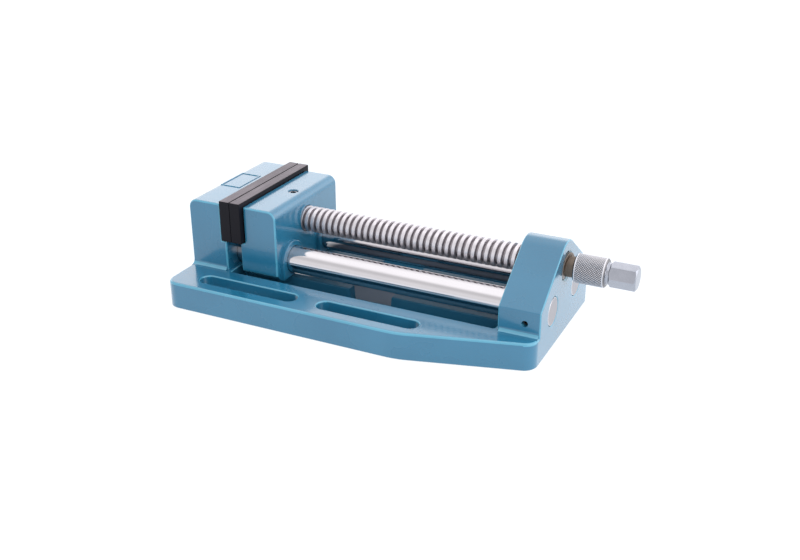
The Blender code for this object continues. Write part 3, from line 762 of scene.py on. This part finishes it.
def bridge_outline():
    """Outline and corner radii of the bridge: two shoulders rising to a dome."""
    rise = SCREW_Z - BRIDGE_SHOULDER_Z
    reach = math.hypot(BRIDGE_HALF_Y, rise)
    slope = math.atan2(rise, BRIDGE_HALF_Y) + math.asin(DOME_R / reach)
    tangent = 90.0 - math.degrees(slope)
    corner = 0.0016
    dome = arc(0.0, SCREW_Z, DOME_R, tangent, 180.0 - tangent, 26)
    y = BRIDGE_HALF_Y
    outline = [(-y, BURIED_Z), (y, BURIED_Z), (y, BRIDGE_SHOULDER_Z)]
    outline += dome + [(-y, BRIDGE_SHOULDER_Z)]
    radii = [0.0, 0.0, corner] + [0.0] * len(dome) + [corner]
    return outline, radii


def raised_frame():
    """Plain raised border on top of the fixed jaw."""
    x0, x1, y0, y1 = -0.0320, -0.0150, -0.0135, 0.0165
    z0 = FIXED_TOP - 0.0010
    z1 = FIXED_TOP + 0.0005
    edge = 0.0002
    width = 0.0012
    levels = [(0.0, z0), (0.0, z1 - edge), (edge, z1)]
    levels += [(width - edge, z1), (width, z1 - edge), (width, z0)]
    rings = []
    for d, z in levels:
        rings.append([Vector((x0 + d, y0 + d, z)), Vector((x1 - d, y0 + d, z)),
                      Vector((x1 - d, y1 - d, z)), Vector((x0 + d, y1 - d, z))])
    return loft(rings, wrap=True)


def key_bore():
    """Bore for the key pin, half in the bridge and half in the nut."""
    return bore("x", (KEY_Y, SCREW_Z), KEY_X[0], KEY_X[1], KEY_R + 0.0002, 24)


def pin_bore(y0, y1):
    """Cross bore for the pin, cut into the sleeve and into the screw's tenon."""
    return bore("y", (PIN_X, SCREW_Z), y0, y1, PIN_R + PIN_GAP, 24)


def base_coat(c, n):
    """Material slot of a face of the casting: 0 enamel, 1 iron, 2 rim with painted highlight, 3
    bed with painted shade.
    """
    hair = 0.0002
    x = c.x - GRIP_X
    if c.z < 0.0001 and n.z < -0.9:
        return 1
    if x > BRIDGE_X[0] and c.z > BASE_T + 0.006:
        # Rounded edges of the bridge take the lighter enamel, a painted highlight.
        return 2 if 0.35 < abs(n.x) < FLAT else 0
    # Faces low in the bed window take the darker enamel, a painted shade.
    if c.z < BASE_T - 0.0030:
        in_x = WINDOW[0] - hair < x < WINDOW[1] + hair
        return 3 if in_x and abs(c.y) < WINDOW_HALF_Y + hair else 0
    round_back = c.z > FIXED_TOP - 0.0066 and abs(n.y) < 0.25
    # Rounded edges and fillets take the lighter enamel, a painted highlight.
    return 2 if is_highlight_rim(n) and not round_back else 0


def build_base():
    """The painted casting, with every bore that its rods, screws and nut need."""
    base = new_object(flange_body(), "base_casting_painted")
    steps = [("UNION", bed_web(side)) for side in SIDES]
    steps += [("DIFFERENCE", notch_cut(side)) for side in SIDES]
    steps.append(("UNION", fixed_jaw_block()))
    bridge = block(*bridge_outline(), BRIDGE_X[0], BRIDGE_X[1], 0.0014, 0.0012, along_x)
    steps.append(("UNION", bridge))
    jaw_foot = (BASE_X0 + 0.0008, -JAW_LEDGE - 0.0008, FIXED_HALF_Y)
    bridge_foot = (BRIDGE_X[0] + 0.0014, BRIDGE_X[1] - 0.0009, BRIDGE_HALF_Y)
    for side in SIDES:
        steps.append(("UNION", foot_fillet(*jaw_foot, side)))
        steps.append(("UNION", foot_fillet(*bridge_foot, side)))
    rod = ROD_R + 0.00030
    for side in SIDES:
        centre = (side * ROD_Y, ROD_Z)
        steps.append(("DIFFERENCE", bore("x", centre, ROD_X[0] - 0.0005, 0.0, rod)))
        flare = [(0.2080, rod), (0.2412, rod), (0.2421, rod + 0.0009)]
        steps.append(("DIFFERENCE", turned(flare, centre, "x", 64)))
        y = sorted((side * (ROD_Y + 0.0050), side * (BRIDGE_HALF_Y + 0.0020)))
        steps.append(("DIFFERENCE", bore("y", (LOCK_X, ROD_Z), *y, LOCK_R + 0.0002, 32)))
        tap = (side * PLATE_SCREW_Y, PLATE_SCREW_Z)
        steps.append(("DIFFERENCE", bore("x", tap, -TAP_X[1], -TAP_X[0], TAP_R, 32)))
    hole = [(0.2080, NUT_SEAT_R), (0.2353, NUT_SEAT_R), (0.2354, 0.01025)]
    hole += [(0.2405, 0.01025), (0.2420, 0.01175)]
    steps.append(("DIFFERENCE", turned(hole, (0.0, SCREW_Z), "x", 72)))
    steps.append(("DIFFERENCE", key_bore()))
    combine(base, steps)
    combine(base, [("UNION", raised_frame())])
    paint(base, [ENAMEL, IRON, ENAMEL_RIM_HIGHLIGHT, ENAMEL_BED_SHADE], base_coat)
    finish_piece(base, "base", ["base_casting"])


# ----------------------------------------------------------------- moving jaw
def boss_outline(side):
    """Counter-clockwise outline of the boss round one guide rod."""
    outline = [(ROD_Y - BOSS_R, TONGUE_Z), (ROD_Y + BOSS_R, TONGUE_Z)]
    outline += arc(ROD_Y, ROD_Z, BOSS_R, 0.0, 180.0, 28)
    if side > 0.0:
        return outline
    return [(-y, z) for y, z in reversed(outline)]


def jaw_coat(c, n):
    """Material slot of a face of the moving jaw: 0 enamel, 1 rim with painted highlight."""
    # Rounded side edges take the lighter enamel, a painted highlight.
    return 1 if 0.30 < abs(n.y) < FLAT and abs(c.y) > MOVING_HALF_Y - 0.0020 else 0


def build_moving_jaw():
    """The painted jaw with its tongue, its bosses and their bores."""
    outline = [(JAW_LEDGE, MOVING_SIDE_Z), (MOVING_REAR, MOVING_SIDE_Z)]
    outline += [(MOVING_REAR, MOVING_TOP), (JAW_SEAT, MOVING_TOP)]
    outline += [(JAW_SEAT, LEDGE_Z), (JAW_LEDGE, LEDGE_Z)]
    radii = (0.0008, 0.0012, 0.0064, 0.0008, 0.0002, 0.0009)
    edge = CAST_EDGE_R
    body = block(outline, radii, -MOVING_HALF_Y, MOVING_HALF_Y, edge, edge, along_y)
    jaw = new_object(body, "moving_jaw_painted")
    wide = MOVING_HALF_Y - 0.0015
    high = MOVING_SIDE_Z + 0.0020
    tongue = [(-TONGUE_HALF_Y, TONGUE_Z), (TONGUE_HALF_Y, TONGUE_Z), (wide, MOVING_SIDE_Z)]
    tongue += [(wide, high), (-wide, high), (-wide, MOVING_SIDE_Z)]
    x0 = JAW_LEDGE + 0.0003
    x1 = MOVING_REAR - 0.0003
    steps = [("UNION", block(tongue, (0.0,) * 6, x0, x1, 0.0, 0.0, along_x))]
    for side in SIDES:
        shape = boss_outline(side)
        sharp = (0.0,) * len(shape)
        steps.append(("UNION", block(shape, sharp, 0.0300, BOSS_REAR, 0.0, 0.0009, along_x)))
    for side in SIDES:
        centre = (side * ROD_Y, ROD_Z)
        steps.append(("DIFFERENCE", bore("x", centre, 0.0, BOSS_REAR + 0.0010, ROD_R + 0.0003)))
        tap = (side * PLATE_SCREW_Y, PLATE_SCREW_Z)
        steps.append(("DIFFERENCE", bore("x", tap, *TAP_X, TAP_R, 32)))
    r = 0.01010
    profile = [(0.0140, r), (MOVING_REAR - 0.0002, r), (MOVING_REAR + 0.0004, r + 0.0004)]
    steps.append(("DIFFERENCE", turned(profile, (0.0, SCREW_Z), "x", 64)))
    r = DOG_R + 0.0001
    profile = [(SCREW_Z + 0.0040, r), (MOVING_TOP - 0.0006, r), (MOVING_TOP + 0.0004, r + 0.0010)]
    steps.append(("DIFFERENCE", turned(profile, (DOG_X, 0.0), "z", 40)))
    combine(jaw, steps)
    paint(jaw, [ENAMEL, ENAMEL_RIM_HIGHLIGHT], jaw_coat)
    finish_piece(jaw, "jaw", ["moving_jaw"])


# ----------------------------------------------------------- plates and screws
def build_plate(name, body, side):
    """Jaw plate with two counterbored holes for its screws."""
    x0, x1 = sorted((side * GAP / 2.0, side * PLATE_T))
    low, high = PLATE_Z
    outline = [(x0, low), (x1, low), (x1, high), (x0, high)]
    radii = (0.0004, 0.0004, 0.0007, 0.0007)
    shell = block(outline, radii, -PLATE_HALF_Y, PLATE_HALF_Y, 0.0004, 0.0004, along_y, 3)
    plate = new_object(shell, name + "_blued")
    head_r = 0.0053
    hole_r = 0.0033
    cuts = [(-0.0020, 0.0062), (0.0009, head_r), (HEAD_DEPTH, head_r)]
    cuts += [(HEAD_DEPTH + 0.00001, hole_r), (PLATE_T + 0.0020, hole_r)]
    cuts = [(side * x, r) for x, r in cuts]
    steps = []
    for y in (-PLATE_SCREW_Y, PLATE_SCREW_Y):
        steps.append(("DIFFERENCE", turned(cuts, (y, PLATE_SCREW_Z), "x", 40)))
    combine(plate, steps)
    top = high - 0.0002
    paint(plate, [PLATE, PLATE_EDGE], lambda c, n: 1 if c.z > top and n.z > 0.8 else 0)
    finish_piece(plate, body, [name])


def hexagon(place, a, b, across):
    """Hexagonal prism from a to b, for a socket."""
    outline = arc(0.0, 0.0, across / math.sqrt(3.0), 0.0, 300.0, 5)
    return loft([[place(u, v, s) for u, v in outline] for s in (a, b)])


def build_plate_screw(name, body, side, y):
    """Socket cap screw with its thread as plain grooves."""
    head = HEAD_DEPTH - GAP
    out = head - 0.0050
    r = PLATE_SCREW_R
    profile = [(out, 0.0044), (out + 0.0002, 0.0047), (out + 0.0006, 0.0050), (head, 0.0050)]
    profile += [(head, r), (head + 0.0080, r)]
    pitch = 0.0010
    root = r - 0.0004
    end = PLATE_SCREW_X1 - 0.0006
    s = head + 0.0080
    while s + pitch < end:
        profile += [(s + 0.4 * pitch, root), (s + 0.6 * pitch, root), (s + pitch, r)]
        s += pitch
    profile += [(end, r), (PLATE_SCREW_X1, r - 0.0006)]
    profile = [(side * p, q) for p, q in profile]
    screw = new_object(turned(profile, (y, PLATE_SCREW_Z), "x", 40), name + "_cap")

    def place(u, v, p):
        return Vector((p, y + u, PLATE_SCREW_Z + v))

    socket = hexagon(place, side * (out - 0.0010), side * (out + 0.0028), 0.0050)
    combine(screw, [("DIFFERENCE", socket)])
    paint(screw, [OXIDE])
    finish_piece(screw, body, [name])


def build_set_screw(name, body, centre, axis, s0, s1, r, across):
    """Socket set screw along axis; the socket is at s1."""
    way = 1.0 if s1 > s0 else -1.0
    edge = 0.0004 * way
    profile = [(s0, r - 0.0006), (s0 + edge, r), (s1 - edge, r), (s1, r - 0.0004)]
    screw = new_object(turned(profile, centre, axis, 36), name + "_socket")

    def place(u, v, s):
        if axis == "y":
            return Vector((centre[0] + u, s, centre[1] + v))
        return Vector((centre[0] + u, centre[1] + v, s))

    socket = hexagon(place, s1 + way * 0.0010, s1 - way * 0.0024, across)
    combine(screw, [("DIFFERENCE", socket)])
    face = s1 - 0.0002
    worn = axis == "z"
    paint(screw, [OXIDE, WORN_STEEL], lambda c, n: 1 if worn and c.z > face and n.z > 0.5 else 0)
    finish_piece(screw, body, [name])


# ------------------------------------------------------------------------ rods
def build_rod(name, side):
    """Chromed guide rod with faced ends and small chamfers."""
    edge = 0.0006
    x0, x1 = ROD_X
    profile = [(x0, ROD_R - edge), (x0 + edge, ROD_R), (x1 - edge, ROD_R)]
    profile += [(x1 - 0.35 * edge, ROD_R - 0.3 * edge), (x1, ROD_R - edge)]
    rod = new_object(turned(profile, (side * ROD_Y, ROD_Z), "x", 96), name + "_ground")
    paint(rod, [CHROME, ROD_END], lambda c, n: 1 if abs(n.x) > 0.9 else 0)
    finish_piece(rod, "base", [name], 50.0)


# ------------------------------------------------------------------ lead screw
def thread_profile():
    """One pitch of the trapezoidal thread as (position, radius), edges slightly broken.

    The widths below are fractions of the pitch.
    """
    start = -0.015
    flank = 0.12
    crest = 0.47
    edge = 0.025
    up = start + flank
    down = up + crest
    end = down + flank
    low = CORE_R + 0.00012
    high = SCREW_R - 0.00016
    brow = SCREW_R - 0.00003
    turns = [(start, CORE_R), (start + edge, low), (up - edge, high), (up, brow)]
    turns += [(up + edge, SCREW_R), (down - edge, SCREW_R), (down, brow)]
    turns += [(down + edge, high), (end - edge, low), (end, CORE_R)]
    return [(t * PITCH, r) for t, r in turns]


def build_lead_screw():
    """Left-hand screw: nose with the dog's groove, one helical skin, tenon."""
    steps = 72
    bm = bmesh.new()
    profile = thread_profile()
    count = len(profile)
    angles = [math.radians(HEX_PHASE - 360.0 * i / steps) for i in range(steps)]

    def point(x, r, a):
        return bm.verts.new((x, r * math.cos(a), SCREW_Z + r * math.sin(a)))

    def ring(x, r):
        return [point(x, r, a) for a in angles]

    columns = []
    for i, a in enumerate(angles):
        lead = THREAD_X0 + PITCH * i / steps
        column = []
        for turn in range(THREAD_TURNS):
            column += [point(lead + turn * PITCH + dx, r, a) for dx, r in profile]
        columns.append(column)

    groove_r = 0.0070
    nose = [(0.0175, 0.0089), (0.0183, SCREW_R), (0.0222, SCREW_R), (0.0222, groove_r)]
    nose += [(0.0268, groove_r), (0.0268, SCREW_R), (0.0298, SCREW_R), (0.0310, CORE_R)]
    rings = [ring(x, r) for x, r in nose]
    for low, high in zip(rings, rings[1:]):
        skin(bm, low, high)
    bm.faces.new(rings[0])
    back = [(TAIL_X, CORE_R), (TAIL_X, TENON_R), (0.2837, TENON_R), (0.2845, TENON_R - 0.0008)]
    tail = [ring(x, r) for x, r in back]
    for low, high in zip(tail, tail[1:]):
        skin(bm, low, high)
    bm.faces.new(tail[-1])
    last = len(columns[0]) - 1
    start = rings[-1]
    end = tail[0]
    for i in range(steps - 1):
        a = columns[i]
        b = columns[i + 1]
        for k in range(last):
            bm.faces.new((a[k], b[k], b[k + 1], a[k + 1]))
        bm.faces.new((start[i], start[i + 1], b[0], a[0]))
        bm.faces.new((a[last], b[last], end[i + 1], end[i]))
    a = columns[steps - 1]
    b = columns[0]
    for k in range(last - count):
        bm.faces.new((a[k], b[k + count], b[k + count + 1], a[k + 1]))
    bm.faces.new(b[:count])
    bm.faces.new((start[steps - 1], start[0], b[0], b[count - 1], b[count], a[0]))
    bm.faces.new(a[last - count + 1:])
    bm.faces.new((b[last], end[0], end[steps - 1], a[last], a[last - count + 1], a[last - count]))
    screw = new_object(bm, "lead_screw_turned")
    combine(screw, [("DIFFERENCE", pin_bore(-0.0042, 0.0120))])
    paint(screw, [SCREW])
    finish_piece(screw, "spindle", ["lead_screw"], 40.0)


# ---------------------------------------------------------------- drive sleeve
def build_sleeve():
    """Diamond-knurled sleeve, turned neck and chamfered hexagon in one piece."""
    x0, x1 = SLEEVE_X
    rows = []
    knurl_a = x0 + 0.0013
    knurl_b = x1 - 0.0013
    around = 38
    per = 6
    steps = around * per
    cell = 2.0 * math.pi * SLEEVE_R / around
    lanes = int(round((knurl_b - knurl_a) / cell))
    depth = 0.00048
    run_out = 0.0004
    neck_r = 0.0075
    collar = ((0.0, 0.0011), (0.0004, 0.00055), (0.0010, 0.00005))

    def round_row(x, r):
        rows.append([(x, r)] * steps)

    def knurl_row(x):
        row = []
        v = (x - knurl_a) / (knurl_b - knurl_a) * lanes
        fade = max(0.0, min(1.0, (x - knurl_a) / run_out, (knurl_b - x) / run_out))
        for i in range(steps):
            u = i / per
            p = abs(((u + v) % 1.0) - 0.5) * 2.0
            q = abs(((u - v) % 1.0) - 0.5) * 2.0
            height = min(1.0, 1.35 * min(p, q))
            row.append((x, SLEEVE_R - depth * (1.0 - height) * fade))
        rows.append(row)

    def hex_row(x, cone):
        flat = HEX_CORNER * math.cos(math.radians(30.0))
        row = []
        for i in range(steps):
            local = math.radians(360.0 * i / steps % 60.0 - 30.0)
            row.append((x, min(flat / math.cos(local), HEX_CORNER - 0.00018, cone)))
        rows.append(row)

    round_row(0.2850, SLEEVE_BORE_R)
    round_row(x0, SLEEVE_BORE_R)
    for along, drop in collar:
        round_row(x0 + along, SLEEVE_R - drop)
    n = lanes * per
    for k in range(n + 1):
        knurl_row(knurl_a + (knurl_b - knurl_a) * k / n)
    for along, drop in reversed(collar):
        round_row(x1 - along, SLEEVE_R - drop)
    round_row(x1 + 0.0001, neck_r + 0.0003)
    round_row(x1 + 0.0004, neck_r)
    round_row(HEX_X[0] - 0.0003, neck_r)
    for k in range(9):
        t = k / 8.0
        hex_row(HEX_X[0] + 0.0009 * t, 0.0077 + 0.0014 * t)
    hex_row(HEX_X[1] - 0.0012, HEX_CORNER)
    for k in range(13):
        t = k / 12.0
        hex_row(HEX_X[1] - 0.0011 + 0.0011 * t, HEX_CORNER - 0.0017 * t)
    rings = []
    for row in rows:
        ring = []
        for i, (x, r) in enumerate(row):
            a = math.radians(HEX_PHASE + 360.0 * i / steps)
            ring.append(Vector((x, r * math.cos(a), SCREW_Z + r * math.sin(a))))
        rings.append(ring)
    sleeve = new_object(loft(rings), "drive_sleeve_knurled")
    combine(sleeve, [("DIFFERENCE", pin_bore(0.0050, 0.0120))])
    split = SLEEVE_X[1] + 0.0001 + GRIP_X
    paint(sleeve, [ZINC, KNURL], lambda c, n: 1 if c.x < split else 0)
    finish_piece(sleeve, "spindle", ["drive_sleeve"], 30.0)


def build_nut():
    """Bronze nut, lightly chamfered, with its half of the key bore."""
    x0, x1 = NUT_X
    profile = [(x0, NUT_HOLE_R + 0.0005), (x0 + 0.00045, NUT_HOLE_R), (x1, NUT_HOLE_R)]
    profile += [(x1, NUT_R), (x0 + 0.0005, NUT_R), (x0, NUT_R - 0.0005)]
    shell = turned(profile, (0.0, SCREW_Z), "x", 64, wrap=True)
    nut = new_object(shell, "spindle_nut_bronze")
    combine(nut, [("DIFFERENCE", key_bore())])
    paint(nut, [BRONZE])
    finish_piece(nut, "base", ["spindle_nut"])


def build_pin(name, suffix, body, axis, centre, r, edge, steps):
    """Pin or disc as long as its CAD node, with chamfered ends."""
    low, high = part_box(name)
    a, b = (low.x - GRIP_X, high.x - GRIP_X) if axis == "x" else (low.y, high.y)
    profile = [(a, r - edge), (a + edge, r), (b - edge, r), (b, r - edge)]
    pin = new_object(turned(profile, centre, axis, steps), name + suffix)
    paint(pin, [OXIDE])
    finish_piece(pin, body, [name])


build_base()
build_moving_jaw()
build_plate("fixed_jaw_plate", "base", -1.0)
build_plate("moving_jaw_plate", "jaw", 1.0)
for tag, y in (("near", -PLATE_SCREW_Y), ("far", PLATE_SCREW_Y)):
    build_plate_screw("fixed_plate_screw_" + tag, "base", -1.0, y)
    build_plate_screw("moving_plate_screw_" + tag, "jaw", 1.0, y)
for tag, side in (("near", -1.0), ("far", 1.0)):
    build_rod("guide_rod_" + tag, side)
    low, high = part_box("rod_lock_screw_" + tag)
    ends = (low.y, high.y) if side > 0.0 else (high.y, low.y)
    place = (LOCK_X, ROD_Z)
    build_set_screw("rod_lock_screw_" + tag, "base", place, "y", *ends, LOCK_R, 0.0020)
build_lead_screw()
build_sleeve()
build_nut()
build_pin("nut_key_pin", "_ground", "base", "x", (KEY_Y, SCREW_Z), KEY_R, 0.0003, 32)
build_pin("sleeve_pin", "_ground", "spindle", "y", (PIN_X, SCREW_Z), PIN_R, 0.0003, 32)
build_pin("thrust_button", "_hard", "jaw", "x", (0.0, SCREW_Z), 0.0085, 0.0005, 48)
low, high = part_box("dog_lock_screw")
build_set_screw("dog_lock_screw", "jaw", (DOG_X, 0.0), "z", low.z, high.z, DOG_R, 0.0040)
hidden_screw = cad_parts["dog_screw"].data.materials
hidden_screw.clear()
hidden_screw.append(OXIDE)


# ---------------------------------------------------------------------- studio
FLOOR_HALF = 6.0
FLOOR_Z = -0.0002
# Floor glow strength, and the band over which it fades into the painted shadow under the vise.
FLOOR_GLOW = 0.90
PAINTED_SHADOW_EDGE = (-0.024, -0.008)
FRONT_LIGHT = (1.05, 0.85)
BACK_LIGHT = (1.90, 1.20)
HORIZON_LIGHT = 1.10
OVERHEAD_LIGHT = 1.50
RIGHT_LIGHT = 1.0
LENS = 47.09
CAMERA_AT = (0.422278, -0.639181, 0.346318)
CAMERA_TILT = 64.99
CAMERA_TURN = 25.71


def build_floor():
    """Pale table that glows from its own emission, a painted light, except under the vise, where
    the glow fades into a painted shadow; its dark blue-grey base colour is painted shade.
    """
    bm = bmesh.new()
    h = FLOOR_HALF
    corners = [(-h, -h), (h, -h), (h, h), (-h, h)]
    bm.faces.new([bm.verts.new((x, y, FLOOR_Z)) for x, y in corners])
    mesh = bpy.data.meshes.new("studio_floor")
    bm.to_mesh(mesh)
    bm.free()
    floor = bpy.data.objects.new("studio_floor", mesh)
    bpy.context.scene.collection.objects.link(floor)
    t = Tree("studio_floor")
    place = t.split()
    outside_x = t.math("SUBTRACT", t.math("ABSOLUTE", place["X"]), BASE_X1 + GRIP_X)
    slope = (BASE_HALF_Y - BASE_END_HALF_Y) / (BASE_X1 - BASE_BEND_X)
    past = t.math("MAXIMUM", t.math("SUBTRACT", place["X"], BASE_BEND_X + GRIP_X), 0.0)
    reach = t.math("ADD", t.math("ABSOLUTE", place["Y"]), t.math("MULTIPLY", past, slope))
    outside_y = t.math("SUBTRACT", reach, BASE_HALF_Y)
    outside = t.math("MAXIMUM", outside_x, outside_y)
    # Glow cut back inside the vise's footprint: painted shadow.
    clear = t.span(outside, 0.0, 1.0, *PAINTED_SHADOW_EDGE)
    grain = t.noise(t.coord, 60.0, 2.0)
    # Dark blue-grey base colour: painted shade under the vise.
    tone = t.mix(grain, (0.130, 0.160, 0.200), (0.155, 0.190, 0.235))
    t.link(tone, t.bsdf.inputs["Base Color"])
    t.link(t.math("MULTIPLY", clear, FLOOR_GLOW), t.bsdf.inputs["Emission Strength"])
    t.set(Roughness=0.9, Specular_IOR_Level=0.0, Emission_Color=(1.0, 1.0, 1.0, 1.0))
    mesh.materials.append(t.mat)


def build_world():
    """Soft surround: brightest behind the vise, then overhead, dimmest in front."""
    world = bpy.data.worlds.new("studio")
    world.use_nodes = True
    nodes = world.node_tree.nodes
    links = world.node_tree.links
    coord = nodes.new("ShaderNodeTexCoord")
    split = nodes.new("ShaderNodeSeparateXYZ")
    links.new(coord.outputs["Generated"], split.inputs["Vector"])

    def span(source, a, b, low, high):
        node = nodes.new("ShaderNodeMapRange")
        node.interpolation_type = "SMOOTHSTEP"
        for key, value in (("From Min", a), ("From Max", b), ("To Min", low), ("To Max", high)):
            node.inputs[key].default_value = value
        links.new(source, node.inputs["Value"])
        return node.outputs["Result"]

    def mix(factor, a, b):
        node = nodes.new("ShaderNodeMix")
        node.data_type = "FLOAT"
        links.new(factor, node.inputs["Factor"])
        for socket, value in ((node.inputs[2], a), (node.inputs[3], b)):
            if isinstance(value, float):
                socket.default_value = value
            else:
                links.new(value, socket)
        return node.outputs[0]

    x, y, z = split.outputs
    front = span(z, 0.30, 0.60, *FRONT_LIGHT)
    band = span(z, 0.46, 0.62, *BACK_LIGHT)
    behind = mix(span(z, 0.08, 0.24, 0.0, 1.0), HORIZON_LIGHT, band)
    around = mix(span(y, 0.0, 0.65, 0.0, 1.0), front, behind)
    over = mix(span(z, 0.66, 0.90, 0.0, 1.0), around, OVERHEAD_LIGHT)
    right = span(x, 0.35, 0.95, 0.0, RIGHT_LIGHT)
    total = nodes.new("ShaderNodeMath")
    total.operation = "ADD"
    links.new(over, total.inputs[0])
    links.new(right, total.inputs[1])
    links.new(total.outputs[0], nodes["Background"].inputs["Strength"])
    nodes["Background"].inputs["Color"].default_value = (1.0, 0.985, 1.0, 1.0)
    bpy.context.scene.world = world


def build_camera():
    """Camera at the viewing angle, placed from the grip plane."""
    data = bpy.data.cameras.new("camera")
    data.sensor_width = 36.0
    data.lens = LENS
    cam = bpy.data.objects.new("camera", data)
    bpy.context.scene.collection.objects.link(cam)
    cam.location = (GRIP_X + CAMERA_AT[0], CAMERA_AT[1], CAMERA_AT[2])
    cam.rotation_euler = (math.radians(CAMERA_TILT), 0.0, math.radians(CAMERA_TURN))
    bpy.context.scene.camera = cam


build_floor()
build_world()
build_camera()
bpy.context.scene.view_settings.view_transform = "Standard"
